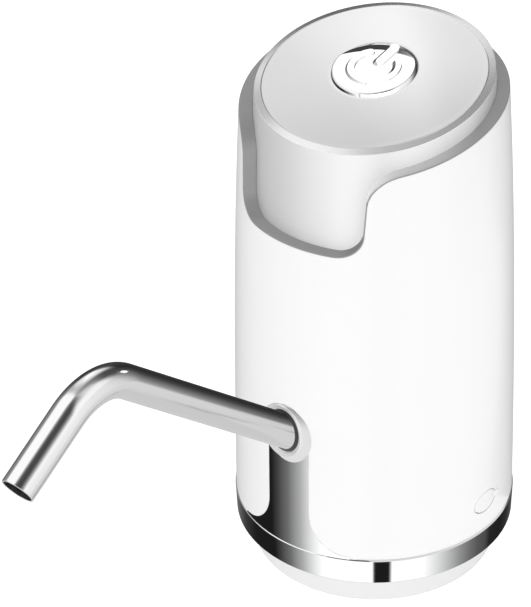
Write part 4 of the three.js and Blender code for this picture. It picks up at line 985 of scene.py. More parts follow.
@dataclass
class PowerButton:
    """The chrome button with its raised ring and bar."""

    radius: float = 10.6
    proud: float = 2.6
    flange: float = 11.6
    flange_top: float = -2.3
    flange_height: float = 0.9
    stem: tuple[float, float] = (1.7, -5.0)
    face: float = 10.42
    foot: float = 1.4
    flat: float = 20.0
    flat_shift: float = 13.7
    slope: float = 0.25
    lean: float = 2.0
    ease: float = 0.25
    symbol_rise: float = 0.45
    symbol_sides: tuple[float, float, float, float] = (1.0, 0.1, 0.04, 0.03)
    rounding: float = 0.3
    crisp: float = 0.06
    broad: float = 0.5
    soft: float = 0.85
    facing: tuple[float, float] = (0.3, 0.5)
    ring: tuple[float, float] = (4.65, 7.0)
    gap: float = 0.79
    bar: tuple[float, float, float] = (1.6, 0.6, 9.8)
    rings: tuple[float, float, int] = (0.45, 0.15, 20)
    inner_rings: tuple[float, ...] = (4.0, 2.0, 0.0)
    wall_rounding: float = 0.1
    rim_share: float = 1.1
    facets: int = 128
    ring_steps: tuple[int, int] = (72, 8)
    bar_steps: tuple[int, int] = (10, 24)

    def drop(self, x: float, y: float) -> float:
        """Return how far the face has fallen at a point: it slopes down beyond an offset flat circle."""
        dx, dy = x + self.flat_shift * math.cos(self.lean), y + self.flat_shift * math.sin(self.lean)
        beyond = math.hypot(dx, dy) - self.flat
        if beyond < self.ease:
            beyond = (beyond + self.ease) ** 2 / (4.0 * self.ease) if beyond > -self.ease else 0.0
        return self.slope * beyond

    def raised(self, outline: Pairs, broad: Sequence[float]) -> Mesh:
        """Raise a shape out of the face, with a broad bevel on its left and a crisp edge on its right.

        Args:
            outline: the shape's corners.
            broad: width of the bevel at each corner, where it faces left.

        Returns:
            The raised shape.
        """
        count = len(outline)
        top, face = self.proud + self.symbol_rise, self.proud
        root, dip, foot, crest = self.symbol_sides
        levels = [(face - root, 0.0), (face - dip, 0.0), (face, 0.0), (face + foot, foot),
                  (top - crest, 1.0 - foot), (top, 1.0)]
        least, span = self.facing

        def place(i: int, j: int) -> Vector:
            """Return a point of the side, moved in from the outline by its level's share of the bevel."""
            x, y = outline[i]
            (ax, ay), (bx, by) = outline[i - 1], outline[(i + 1) % count]
            length = max(math.hypot(bx - ax, by - ay), TINY)
            out = Vector(((by - ay) / length, (ax - bx) / length))
            facing = -(out.x + out.y) / math.sqrt(2.0)
            share = min(max((facing - least) / span, 0.0), 1.0)
            height, moved = levels[j]
            reach = self.crisp + (broad[i] - self.crisp) * share
            fall = self.drop(x, y) if height <= face else 0.0
            return Vector((x - out.x * reach * moved, y - out.y * reach * moved, height - fall))

        bm = MeshKit.wrapped(count, len(levels) - 1, place, seamless_rows=False)
        bmesh.ops.triangulate(bm, faces=MeshKit.capped(bm))
        bmesh.ops.recalc_face_normals(bm, faces=bm.faces[:])
        return bm

    def symbol(self) -> list[Mesh]:
        """Return the ring and the bar that stand out of the button's face."""
        inner, outer = self.ring
        mid, half = (inner + outer) / 2.0, (outer - inner) / 2.0
        start, sweep = QUARTER + self.gap, 2.0 * (math.pi - self.gap)
        end = start + sweep
        long, short = self.ring_steps

        def arc(radius: float, begin: float, turn: float, count: int) -> list[tuple[float, float]]:
            """Return points of an arc about the button's centre."""
            angles = [begin + turn * s for s in eased(count)]
            return [(radius * math.cos(a), radius * math.sin(a)) for a in angles]

        def tip(at: float, begin: float) -> list[tuple[float, float]]:
            """Return the round end of the ring at an angle, without its first and last points."""
            round_end = arc(half, begin, math.pi, short)[1:-1]
            return [(mid * math.cos(at) + x, mid * math.sin(at) + y) for x, y in round_end]

        outline = arc(outer, start, sweep, long)
        broad = [self.broad] * len(outline)
        outline += tip(end, end) + arc(inner, end, -sweep, long) + tip(start, start + math.pi)
        broad += [self.soft] * (len(outline) - len(broad))
        wide, near, far = self.bar
        run = far - near - 2.0 * wide
        tips, sides = (eased(count) for count in self.bar_steps)
        across = [(wide * math.cos(a), math.sin(a)) for a in (math.pi * s for s in tips)]
        bar = [(-x, near + wide - wide * y) for x, y in across]
        bar += [(wide, near + wide + run * s) for s in sides[1:-1]]
        bar += [(x, far - wide + wide * y) for x, y in across]
        bar += [(-wide, far - wide - run * s) for s in sides[1:-1]]
        return [self.raised(outline, broad), self.raised(bar, [self.soft] * len(bar))]

    def build(self) -> Piece:
        """Make the button, with its foot and stem, square on the slanted top."""
        top, foot = self.proud, self.flange_top - self.flange_height
        stem, low = self.stem
        profile = [(0.0, low), (stem, low), (stem, foot), (self.flange, foot), (self.flange, self.flange_top),
                   (self.radius, self.flange_top), (self.radius, self.foot), (self.face, top)]
        first, step, count = self.rings
        profile += [(self.face - first - step * number, top) for number in range(count)]
        profile += [(radius, top) for radius in self.inner_rings]
        disc = MeshKit.lathe(profile, {6: self.wall_rounding, 7: self.rounding}, self.facets, closed=False)
        for vert in disc.verts:
            if vert.co.z > top - self.rounding * self.rim_share:
                vert.co.z -= self.drop(vert.co.x, vert.co.y)
        bm = MeshKit.merged([disc, *self.symbol()])
        piece = MeshKit.mesh("button", MeshKit.placed(bm, BODY.head), sharp=30.0)
        return finished(piece, "button", Slot.BUTTON, BUTTON_CHROME, "power_button")


@dataclass
class Trim:
    """The chrome ring, the strip up to the outlet, and the outlet's bezel."""

    ring: tuple[float, float] = (9.4, 16.7)
    ring_radius: float = 36.3
    ring_taper: float = 0.3
    ring_wall: float = 1.5
    top_chamfer: tuple[float, float] = (0.26, 0.27)
    corners: tuple[float, float] = (0.25, 0.04)
    strip_half: float = 6.5
    fillet: float = 11.0
    fillet_foot: float = 17.3
    strip_top: float = 48.5
    strip_proud: float = 0.06
    strip_depth: float = 0.5
    strip_edge: float = 0.05
    strip_overlap: float = 0.5
    strip_cells: int = 28
    strip_rows: tuple[int, int] = (18, 10)
    ring_facets: int = 256
    face: float = 38.23
    face_half: tuple[float, float] = (6.25, 7.75)
    face_centre: float = 53.1
    face_sink: float = 0.3
    foot_half: tuple[float, float] = (7.15, 8.3)
    foot_centre: float = 50.9
    foot_depths: tuple[float, float] = (0.4, -0.15)
    rounding: float = 0.55
    bore: float = 4.8
    bore_stations: tuple[float, ...] = (-1.5, -4.0, -6.9)
    sleeve: float = 5.9
    sleeve_stations: tuple[float, ...] = (-6.9, -3.0)
    lip: float = 1.15
    lip_depth: float = 0.85
    lip_crest: tuple[float, float] = (0.93, 0.04)
    throat: tuple[float, float] = (0.12, 0.1)
    columns: int = 96
    # How far past the bore's radius the bezel's faces take the dark finish that paints the shade in the bore.
    shade_reach: float = 0.07
    # A dark ring round the tube at the bore's mouth, as pairs of radius and depth: painted shade where the
    # tube enters the bore.
    shade_ring: Pairs = ((4.38, 1.6), (4.38, 0.1), (4.43, -0.1), (4.55, 0.35), (4.86, 1.0), (4.86, 1.6))

    def strip_width(self, z: float) -> float:
        """Return the strip's half width at a height: fillets at its foot, then straight sides."""
        fall = self.fillet - min(max(z - self.fillet_foot, 0.0), self.fillet)
        return self.strip_half + self.fillet - math.sqrt(self.fillet ** 2 - fall ** 2)

    def band(self) -> Mesh:
        """Return the ring."""
        low, high = self.ring
        inner, outer = self.ring_radius - self.ring_wall, self.ring_radius
        back, drop = self.top_chamfer
        foot, top = self.corners
        profile = [(inner, low), (outer - self.ring_taper, low), (outer, high - drop), (outer - back, high),
                   (inner, high)]
        return MeshKit.lathe(profile, {1: foot, 2: top, 3: top}, self.ring_facets)

    def plate(self) -> Mesh:
        """Return the strip, wrapped on the shell."""
        curved, plain = (eased(count) for count in self.strip_rows)
        rise = [self.fillet_foot + self.fillet * (1.0 - math.cos(s * QUARTER)) for s in curved]
        straight = [rise[-1] + (self.strip_top - rise[-1]) * s for s in plain[1:]]
        heights = [self.ring[1] - self.strip_overlap, *rise, *straight]
        across, edge = self.strip_cells, self.strip_edge

        def place(i: int, j: int) -> Vector:
            """Return a point of the strip's closed section at a height: its face, its edges and its back."""
            z = heights[j]
            half = self.strip_width(z)
            skin = BODY.shell_radius(max(z, BODY.foot_height))
            proud, deep = skin + self.strip_proud, skin - self.strip_depth
            if i <= across:
                share = 2.0 * i / across - 1.0
                return around(proud, share * (half - edge) / BODY.foot_radius, z)
            if i == across + 1:
                return around(proud - edge, half / BODY.foot_radius, z)
            if i == 2 * across + 5:
                return around(proud - edge, -half / BODY.foot_radius, z)
            share = 1.0 - 2.0 * (i - across - 2) / (across + 2)
            return around(deep, share * half / BODY.foot_radius, z)

        bm = MeshKit.wrapped(2 * across + 6, len(heights) - 1, place, seamless_rows=False)
        MeshKit.capped(bm)
        return bm

    def build_ring(self) -> Piece:
        """Make the ring and its strip as one piece."""
        plate = MeshKit.mesh("plate", self.plate())
        MeshKit.cut(plate, [OUTLET.opening()])
        strip = bmesh.new()
        strip.from_mesh(plate.data)
        bmesh.ops.scale(strip, vec=(1.0 / MM,) * 3, verts=strip.verts[:])
        MeshKit.discard(plate)
        piece = MeshKit.mesh("ring_and_strip", MeshKit.merged([self.band(), strip]), sharp=32.0)
        return finished(piece, "body", Slot.TRIM, TRIM_CHROME, "trim_ring")

    def build_bezel(self) -> Piece:
        """Make the eyelet round the spout, with its lip, its sleeve and a bore darkened as painted shade."""
        slope = math.tan(math.radians(OUTLET.rise))
        stretch = math.cos(math.radians(OUTLET.rise))
        axis_face = OUTLET.height + (self.face - BODY.foot_radius) * slope
        e = self.rounding

        def oval(wide: float, tall: float, centre: float, reach: float) -> Callable[[float], Vector]:
            """Return an upright oval at a distance in front of the axis, as a function of the angle."""
            return lambda a: Vector((wide * math.sin(a), -reach, centre + tall * math.cos(a)))

        def foot(depth: float) -> Callable[[float], Vector]:
            """Return the oval that lies on the shell, sunk by a depth."""
            def at(a: float) -> Vector:
                """Return the oval's point at an angle."""
                x = self.foot_half[0] * math.sin(a)
                z = self.foot_centre + self.foot_half[1] * math.cos(a)
                r = BODY.shell_radius(z) - depth
                return Vector((x, -math.sqrt(r * r - x * x), z))
            return at

        def ring(radius: float, station: float) -> Callable[[float], Vector]:
            """Return a circle about the outlet's axis."""
            centre = OUTLET.at(station)
            return lambda a: centre + SIDE * (radius * math.sin(a)) + OUTLET.up * (radius * math.cos(a))

        def wrap(loops: Sequence[Callable[[float], Vector]]) -> Mesh:
            """Wrap a skin over loops, the last of which joins the first."""
            angles = turns(self.columns)
            return MeshKit.wrapped(self.columns, len(loops), lambda i, j: loops[j](angles[i]))

        wide, tall = self.face_half
        bore, hole_tall, lip, sink = self.bore, self.bore / stretch, self.lip, self.lip_depth
        loops = [foot(depth) for depth in self.foot_depths]
        for share in eased(4):
            a = share * QUARTER
            grow = e * (math.cos(a) - 0.5)
            loops.append(oval(wide + grow, tall + grow, self.face_centre - self.face_sink * (1.0 - share),
                              self.face - e + e * math.sin(a)))
        (crest, low), (throat, deeper) = self.lip_crest, self.throat
        for grow, slid, depth in ((lip, 0.0, 0.0), (lip * crest, 0.0, low), (throat, sink, sink),
                                  (0.0, sink + deeper, sink + deeper)):
            loops.append(oval(bore + grow, hole_tall + grow, axis_face - slope * slid, self.face - depth))
        loops += [ring(bore, s) for s in self.bore_stations]
        loops += [ring(self.sleeve, s) for s in self.sleeve_stations]
        # The dark ring round the tube stands in for the shade inside the bore.
        shade_loops = [oval(r, r / stretch, axis_face - slope * depth, self.face - depth) for r, depth in self.shade_ring]
        piece = MeshKit.mesh("bezel", MeshKit.merged([wrap(loops), wrap(shade_loops)]), sharp=40.0)
        finished(piece, "body", Slot.TRIM, BEZEL_CHROME, "outlet_bezel")
        # The faces of the bore and of the ring round the tube take a dark finish: painted shade where the
        # tube enters the bore.
        piece.data.materials.append(DARK_PLASTIC_AND_BORE_SHADE.material())
        axis = OUTLET.at(0.0) * MM
        for face in piece.data.polygons:
            off = face.center - axis
            if (off - OUTLET.out * off.dot(OUTLET.out)).length < (bore + self.shade_reach) * MM:
                face.material_index = 1
        piece.visible_diffuse = False
        return piece


@dataclass
class Spout:
    """The bent steel tube and the bush that it turns in."""

    wall: float = 0.5
    start: float = -10.3
    columns: int = 64
    lip: float = 0.12
    bush: tuple[float, float] = (-10.6, -7.2)
    bush_radius: float = 5.45
    bush_gap: float = 0.12
    bush_rounding: float = 0.12
    bush_facets: int = 64
    steps: tuple[int, int, int] = (40, 36, 14)

    def stations(self) -> list[tuple[Vector, Vector]]:
        """Return points of the centre line, each with its direction."""
        turn = math.radians(OUTLET.rise + OUTLET.fall)
        setback = OUTLET.bend * math.tan(turn / 2.0)
        corner = OUTLET.at(OUTLET.reach)
        rising = OUTLET.reach - setback - self.start
        climb, bend, fall = (eased(count) for count in self.steps)
        found = [(OUTLET.at(self.start + rising * share), OUTLET.out) for share in climb]
        centre = corner - OUTLET.out * setback - OUTLET.up * OUTLET.bend
        arm = corner - OUTLET.out * setback - centre
        for share in bend[1:]:
            spin = Matrix.Rotation(turn * share, 3, "X")
            found.append((centre + spin @ arm, spin @ OUTLET.out))
        begin, length = found[-1][0], OUTLET.drop - setback
        found += [(begin + OUTLET.down * length * share, OUTLET.down) for share in fall[1:]]
        return found

    def build_tube(self) -> Piece:
        """Make the tube as one closed wall, with a softened mouth."""
        *line, (mouth, heading) = self.stations()
        outer, inner, lip = OUTLET.tube_radius, OUTLET.tube_radius - self.wall, self.lip
        steps = [s * QUARTER for s in eased(3)]
        rows = [(p, d, outer) for p, d in line]
        rows += [(mouth - heading * lip * (1.0 - math.sin(a)), heading, outer - lip * (1.0 - math.cos(a)))
                 for a in steps]
        rows += [(mouth - heading * lip * (1.0 - math.cos(a)), heading, inner + lip * (1.0 - math.sin(a)))
                 for a in steps]
        rows += [(p, d, inner) for p, d in reversed(line)]
        angles = turns(self.columns)

        def place(i: int, j: int) -> Vector:
            """Return a point of the wall, square to the centre line."""
            point, direction, radius = rows[j]
            up = direction.cross(SIDE)
            return point + SIDE * (radius * math.cos(angles[i])) + up * (radius * math.sin(angles[i]))

        bm = MeshKit.wrapped(self.columns, len(rows), place)
        piece = finished(MeshKit.mesh("tube", bm, sharp=50.0), "spout", Slot.TUBE, TUBE_STEEL, "spout_tube")
        piece.visible_diffuse = False
        piece.visible_glossy = True
        return piece

    def build_bush(self) -> Piece:
        """Make the soft bush round the tube's inner end."""
        low, high = self.bush
        inner = OUTLET.tube_radius + self.bush_gap
        profile = [(inner, low), (self.bush_radius, low), (self.bush_radius, high), (inner, high)]
        bm = MeshKit.lathe(profile, {i: self.bush_rounding for i in range(4)}, self.bush_facets)
        piece = MeshKit.mesh("bush", MeshKit.placed(bm, OUTLET.along(0.0)))
        return finished(piece, "swivel", Slot.SILICONE, SILICONE, "spout_bush")


@dataclass
class PortCover:
    """The soft cover of the charging port, flush with the shell."""

    half: tuple[float, float] = (4.36, 2.86)
    levels: Pairs = (
        (-1.25, 0.6), (-0.6, 0.1), (-0.2, 0.0), (-0.06, 0.06), (0.0, 0.2), (0.0, 0.8), (0.0, 1.6))
    notch: tuple[float, float, float] = (3.25, 0.7, 0.45)
    columns: int = 72

    def build(self) -> Piece:
        """Make the cover as a stack of ovals that follow the shell's curve."""
        wide, tall = self.half
        reach, spread, sunk = self.notch
        angles = turns(self.columns)

        def place(i: int, j: int) -> Vector:
            """Return a point of the cover, with the notch pressed into its face."""
            depth, shrink = self.levels[j]
            y = (wide - shrink) * math.cos(angles[i])
            z = PORT_STRAP.height + (tall - shrink) * math.sin(angles[i])
            away = (y - reach) ** 2 + (z - PORT_STRAP.height) ** 2
            dip = 0.0 if depth < 0.0 else sunk * math.exp(-away / spread)
            r = BODY.shell_radius(z) + depth - dip
            return Vector((math.sqrt(r * r - y * y), y, z))

        bm = MeshKit.wrapped(self.columns, len(self.levels) - 1, place, seamless_rows=False)
        middle = BODY.foot_radius + self.levels[1][0]
        bmesh.ops.poke(bm, faces=[f for f in MeshKit.capped(bm) if f.calc_center_median().x > middle])
        piece = MeshKit.mesh("port_cover_soft", MeshKit.merged([bm, PORT_STRAP.block(0.0)]), sharp=30.0)
        return finished(piece, "charge_cover", Slot.SILICONE, COVER_WHITE, "port_cover")


@dataclass
class Underside:
    """The collar with its neck socket, and the fittings under the floor."""

    neck: float = 28.4
    depth: float = 18.0
    floor: float = 2.4
    foot: float = 31.1
    roundings: tuple[float, float, float] = (0.8, 0.6, 0.9)
    under_ring: float = 34.2
    ring_seat: float = 34.5
    collar_inside: float = 33.38
    ring_bottom: float = 9.4
    ring_top: float = 16.7
    seat_gap: float = 0.1
    opening: float = 3.2
    fitting_gap: float = 0.3
    gasket: tuple[float, float, float] = (23.1, 28.1, 2.0)
    gasket_rounding: float = 0.25
    rib: tuple[float, float, float, float] = (1.5, 0.5, 0.3, 0.4)
    nipple: tuple[float, float] = (1.9, 2.9)
    nipple_ends: tuple[float, float] = (5.3, 28.6)
    nipple_roundings: tuple[float, float] = (0.2, 0.3)
    tip_taper: float = 0.1
    ridges: tuple[float, ...] = (7.8, 10.3)
    ridge: tuple[float, float] = (0.5, 0.05)
    flange: tuple[float, float, float] = (6.0, 22.0, 1.6)
    nut: tuple[float, float] = (6.4, 2.4)
    nut_rounding: float = 0.4
    nut_hole: tuple[float, float, int] = (3.1, 20.0, 48)
    screw_circle: float = 19.5
    screw_head: tuple[float, float, float, float] = (1.5, 2.6, 1.6, 0.7)
    screw_shank: tuple[float, float] = (0.95, 12.0)
    screw_roundings: tuple[float, float] = (0.4, 0.15)
    recess: tuple[float, float, float] = (2.6, 0.55, 1.4)
    facets: int = 192
    gasket_facets: int = 128
    small_facets: int = 64
    screw_facets: int = 40

    @property
    def under(self) -> float:
        """Return the height of the floor's lower face, less the gap that the fittings keep."""
        return self.depth - self.fitting_gap

    def build_collar(self) -> Piece:
        """Make the collar, open for the inlet in the middle of its floor."""
        top, ledge = self.depth + self.floor, self.ring_bottom - self.seat_gap
        profile = [(self.opening, self.depth), (self.neck, self.depth), (self.neck, 0.0), (self.foot, 0.0),
                   (self.under_ring, ledge), (self.ring_seat, ledge), (self.ring_seat, self.ring_top),
                   (self.collar_inside, self.ring_top), (self.collar_inside, top), (self.opening, top)]
        bm = MeshKit.lathe(profile, dict(enumerate(self.roundings, start=1)), self.facets)
        return finished(MeshKit.mesh("collar", bm), "body", Slot.COLLAR, COLLAR_WHITE, "base_collar")

    def build_gasket(self) -> Piece:
        """Make the flat gasket that the jug's rim meets, with two sealing ribs."""
        inner, outer, thick = self.gasket
        low = self.under - thick
        inset, foot, crest, rise = self.rib
        profile = [(inner, self.under), (inner, low)]
        for centre in (inner + inset, outer - inset):
            profile += [(centre - foot, low), (centre - crest, low + rise), (centre + crest, low + rise),
                        (centre + foot, low)]
        profile += [(outer, low), (outer, self.under)]
        corners = {1: self.gasket_rounding, len(profile) - 2: self.gasket_rounding}
        bm = MeshKit.lathe(profile, corners, self.gasket_facets)
        return finished(MeshKit.mesh("gasket", bm), "body", Slot.RUBBER, RUBBER, "neck_gasket")

    def build_nipple(self) -> Piece:
        """Make the inlet nipple with its ridges for the hose."""
        bore, outer = self.nipple
        tip, end = self.nipple_ends
        reach, flange, thick = self.flange
        proud, drop = self.ridge
        profile = [(bore, tip), (outer - self.tip_taper, tip)]
        for z in self.ridges:
            profile += [(outer + proud, z), (outer, z + drop)]
        profile += [(outer, flange), (reach, flange), (reach, flange + thick), (outer, flange + thick),
                    (outer, end), (bore, end)]
        tip_rounding, flange_rounding = self.nipple_roundings
        corners = {1: tip_rounding, 7: flange_rounding, 8: flange_rounding}
        bm = MeshKit.lathe(profile, corners, self.small_facets)
        return finished(MeshKit.mesh("nipple", bm), "body", Slot.PALE, PALE_PLASTIC, "inlet_nipple")

    def build_nut(self) -> Piece:
        """Make the hexagonal nut, with the edge of its lower face rounded."""
        radius, high = self.nut
        outline = [(radius * math.cos(a), radius * math.sin(a)) for a in turns(6)]
        bm = MeshKit.prism(outline, -self.under, high - self.under, self.nut_rounding)
        bmesh.ops.rotate(bm, cent=(0, 0, 0), matrix=Matrix.Rotation(math.pi, 3, "X"), verts=bm.verts[:])
        nut = MeshKit.mesh("nut", bm)
        hole = MeshKit.rod(*self.nut_hole)
        MeshKit.cut(nut, [MeshKit.placed(hole, Matrix.Translation((0.0, 0.0, self.under)))])
        return finished(nut, "body", Slot.PALE, PALE_PLASTIC, "inlet_nut")

    def build_screws(self) -> None:
        """Make the four pan head screws with crossed recesses."""
        crown, head, low, waist = self.screw_head
        shank, tip = self.screw_shank
        profile = [(0.0, -low), (crown, -low), (head, -waist), (head, 0.0), (shank, 0.0), (shank, tip),
                   (0.0, tip)]
        long, thin, deep = self.recess
        corners = dict(enumerate(self.screw_roundings, start=2))
        for number in range(1, 5):
            angle = (number - 0.5) * QUARTER
            bm = MeshKit.lathe(profile, corners, self.screw_facets, closed=False)
            centre = around(self.screw_circle, angle, self.under)
            place = Matrix.Translation(centre) @ Matrix.Rotation(angle, 4, "Z")
            piece = MeshKit.mesh(f"base_screw_{number}_pan", MeshKit.placed(bm, place), sharp=30.0)
            slots = []
            for size in ((long, thin, deep), (thin, long, deep)):
                slot = bmesh.new()
                bmesh.ops.create_cube(slot, size=1.0)
                bmesh.ops.scale(slot, vec=size, verts=slot.verts[:])
                slots.append(MeshKit.placed(slot, place @ Matrix.Translation((0.0, 0.0, -low))))
            MeshKit.cut(piece, slots, sharp=30.0)
            finished(piece, "body", Slot.STEEL, PLAIN_STEEL, f"base_screw_{number}")


@dataclass
class Inside:
    """The solids inside the body, which keep their shape and get their finishes."""

    finishes: dict[Slot, Finish] = field(default_factory=lambda: {
        Slot.SILICONE: SILICONE, Slot.RUBBER: RUBBER, Slot.PALE: PALE_PLASTIC, Slot.DARK: DARK_PLASTIC_AND_BORE_SHADE,
        Slot.STEEL: PLAIN_STEEL, Slot.BOARD: BOARD_GREEN, Slot.CELL: CELL_WRAP, Slot.FOAM: FOAM,
        Slot.SHELL: SHELL_WHITE, Slot.COLLAR: COLLAR_WHITE, Slot.TRIM: TRIM_CHROME, Slot.CAP: CAP_SILVER,
        Slot.PANEL: PANEL_PEARL, Slot.BUTTON: BUTTON_CHROME, Slot.TUBE: TUBE_STEEL,
    })

    def dress(self, frame: dict) -> None:
        """Give each solid the material of its slot in the record."""
        slots = {entry["node"]: Slot(entry["material_slot"]) for entry in frame["record"]["subparts"]}
        for name, node in frame["nodes"].items():
            material = self.finishes[slots[name]].material()
            for holder in node if isinstance(node, (list, tuple)) else [node]:
                holder.data.materials.clear()
                holder.data.materials.append(material)
                holder.visible_glossy = False
        LOG.info("dressed %d solids", len(frame["nodes"]))


# Studio


@dataclass
class Studio:
    """A plain pale floor, a room of five walls one above the other, and the camera.

    A wall is a row of stops, each a bearing in degrees from the camera's, to the right, and a
    brightness. The walls blend into one another where a ray's height lies between two joins.
    """

    focal: float = 237.46
    sensor: float = 36.0
    far_clip: float = 50.0
    pitch: float = 0.5848
    yaw: float = 0.0326
    roll: float = -0.0166
    spout_turn: float = -0.6551
    distance: tuple[float, float] = (-850.0, 634.34)
    floor_size: float = 6.0
    floor_white: float = 0.9
    floor_glow: float = 0.45
    card_glow: float = 0.7
    cards: Sequence[tuple[float, float, float, float, float]] = (
        (0.062, -0.06, 0.2, 0.17, 0.001), (0.002, -0.03, 0.046, 0.014, 0.0175))
    ledge_radius: float = 29.5
    ledge_span: tuple[float, float] = (30.0, 92.0)
    ledge_heights: tuple[float, float] = (-8.0, 4.5)
    ledge_strength: float = 6.0
    ledge_steps: int = 40
    ledge_levels: Pairs = (
        (0.1, 0.56), (0.18, 0.52), (0.26, 0.47), (0.38, 0.41), (0.52, 0.37), (0.68, 0.3), (0.85, 0.21),
        (0.95, 0.17))
    beneath: Pairs = ((-180, 0.66), (180, 0.66))
    skirting: Pairs = (
        (-180, 0.2), (-156, 0.11), (-138, 0.04), (-120, 0.013), (-94, 0.012), (-87, 0.055), (-76, 0.165),
        (-64, 0.43), (-53, 0.83), (-45, 1.1), (-1.1, 1.1), (0.1, 0.012), (13.7, 0.012), (14.9, 1.1),
        (43, 1.1), (54, 0.83), (66, 0.55), (78, 0.31), (90, 0.17), (100, 0.1), (109, 0.075), (116, 0.02),
        (134, 0.015), (150, 0.03), (180, 0.12))
    horizon: Pairs = (
        (-180, 0.055), (-160, 0.04), (-148, 0.15), (-140, 0.22), (-125, 0.35), (-90, 0.62), (-60, 0.9),
        (-30, 1.05), (50, 1.05), (68, 0.95), (92, 0.85), (103, 0.72), (113, 0.43), (121, 0.26),
        (131, 0.14), (143, 0.055), (158, 0.022), (180, 0.055))
    middle: Pairs = (
        (-180, 1.0), (-178, 1.12), (-175, 1.34), (-172, 1.28), (-166, 1.08), (-162, 0.9), (-153, 0.82),
        (-147, 0.5), (-141, 0.5), (-136, 1.1), (-55, 1.1), (-40, 0.04), (30, 0.04), (37, 0.12), (43, 0.3),
        (51, 1.1), (104, 1.0), (112, 0.4), (122, 0.08), (150, 0.06), (158, 0.12), (163, 0.35),
        (169, 0.8), (176, 0.95), (180, 1.0))
    ceiling: Pairs = (
        (-180, 0.36), (-167, 0.42), (-152, 0.5), (-142, 0.7), (-133, 1.1), (-58, 1.1), (-38, 0.6),
        (-25, 0.2), (-7, 0.08), (38, 0.06), (58, 0.2), (80, 0.7), (110, 0.5), (150, 0.26), (165, 0.28),
        (180, 0.38))
    daylight: Pairs = (
        (-180, 0.62), (-120, 0.86), (-60, 1.03), (0, 1.06), (70, 0.94), (120, 0.74), (180, 0.62))
    skirting_lean: float = 0.16
    joins: Pairs = ((-0.78, -0.72), (-0.46, -0.40), (0.31, 0.5), (0.66, 1.02))

    def from_fit(self, v: Vector) -> Vector:
        """Turn a vector of the camera's frame, X right and Y away, into the part's frame."""
        c, s = math.cos(self.spout_turn), math.sin(self.spout_turn)
        return Vector((v.x * c + v.y * s, -(v.x * s - v.y * c), v.z))

    def camera(self) -> None:
        """Place the camera at the photograph's angle."""
        look = Vector((-math.sin(self.yaw) * math.cos(self.pitch), math.cos(self.yaw) * math.cos(self.pitch),
                       -math.sin(self.pitch)))
        right = Vector((math.cos(self.yaw), math.sin(self.yaw), 0.0))
        up = right.cross(look)
        c, s = math.cos(self.roll), math.sin(self.roll)
        across, above = right * c + up * s, up * c - right * s
        columns = [self.from_fit(v) for v in (across, above, -look)]
        place = self.from_fit(Vector((0.0, self.distance[0], self.distance[1]))) * MM
        data = bpy.data.cameras.new("camera")
        data.lens = self.focal
        data.sensor_width = self.sensor
        data.sensor_fit = "AUTO"
        data.clip_end = self.far_clip
        holder = bpy.data.objects.new("camera", data)
        holder.matrix_world = Matrix.Translation(place) @ Matrix(columns).transposed().to_4x4()
        bpy.context.scene.collection.objects.link(holder)
        bpy.context.scene.camera = holder

    @staticmethod
    def glowing(name: str, base: float, strength: float) -> tuple[bpy.types.Material, Shading, Node]:
        """Return a material that gives off white light, with its tree and its main shader."""
        material, kit, shader = Shading.material(name)
        kit.feed(shader, {"Base Color": (base, base, base, 1.0), "Emission Color": (1.0, 1.0, 1.0, 1.0),
                          "Emission Strength": strength})
        return material, kit, shader

    def floor(self) -> None:
        """Lay the floor, which lights the object softly from below."""
        bm = bmesh.new()
        bmesh.ops.create_grid(bm, x_segments=1, y_segments=1, size=self.floor_size / 2.0)
        plane = MeshKit.linked("floor", bm)
        material, kit, shader = self.glowing("pale_floor", self.floor_white, self.floor_glow)
        kit.feed(shader, {"Roughness": 0.9})
        plane.data.materials.append(material)
        plane.visible_glossy = False

    def lay_cards(self) -> None:
        """Lay bright cards beside and under the object, which only metal mirrors."""
        material = self.glowing("bright_card", 0.0, self.card_glow)[0]
        for number, (left, near, right, far, height) in enumerate(self.cards):
            bm = bmesh.new()
            bmesh.ops.create_grid(bm, x_segments=1, y_segments=1, size=0.5)
            bmesh.ops.scale(bm, vec=(right - left, far - near, 1.0), verts=bm.verts[:])
            bmesh.ops.translate(bm, vec=((left + right) / 2.0, (near + far) / 2.0, height), verts=bm.verts[:])
            self.lay(MeshKit.linked(f"card_{number}", bm), material)
        bm, material = self.ledge_card()
        self.lay(MeshKit.linked("ledge_card", bm), material)

    @staticmethod
    def lay(card: Piece, material: bpy.types.Material) -> None:
        """Dress a card and keep it out of the picture and of all light but mirrored light."""
        card.data.materials.append(material)
        card.visible_camera = False
        card.visible_diffuse = False
        card.visible_shadow = False

    def ledge_card(self) -> tuple[Mesh, bpy.types.Material]:
        """Return the curved card behind the cap's right side, which lights the band beside the visor."""
        start, end = self.ledge_span
        low, high = self.ledge_heights
        outline = EdgeOutline()
        bm = MeshKit.grid(self.ledge_steps, 1)
        for vert in bm.verts:
            angle = math.radians(start + (end - start) * (vert.co.x + 0.5))
            ledge = outline.height(angle * outline.arc_radius)
            vert.co = around(self.ledge_radius, angle, ledge + (high if vert.co.y > 0.0 else low)) * MM
        material, kit, shader = self.glowing("fading_card", 0.0, 0.0)
        along = kit.node("ShaderNodeSeparateXYZ", {0: kit.node("ShaderNodeTexCoord").outputs["UV"]})
        ramp = kit.node("ShaderNodeFloatCurve", {"Value": along.outputs["X"]})
        curve = ramp.mapping.curves[0]
        curve.points[0].location = (0.0, self.ledge_levels[0][1])
        curve.points[1].location = (1.0, self.ledge_levels[-1][1])
        for place, level in self.ledge_levels:
            curve.points.new(place, level)
        ramp.mapping.update()
        light = kit.math("MULTIPLY", ramp.outputs["Value"], self.ledge_strength)
        kit.feed(shader, {"Emission Strength": light})
        return bm, material

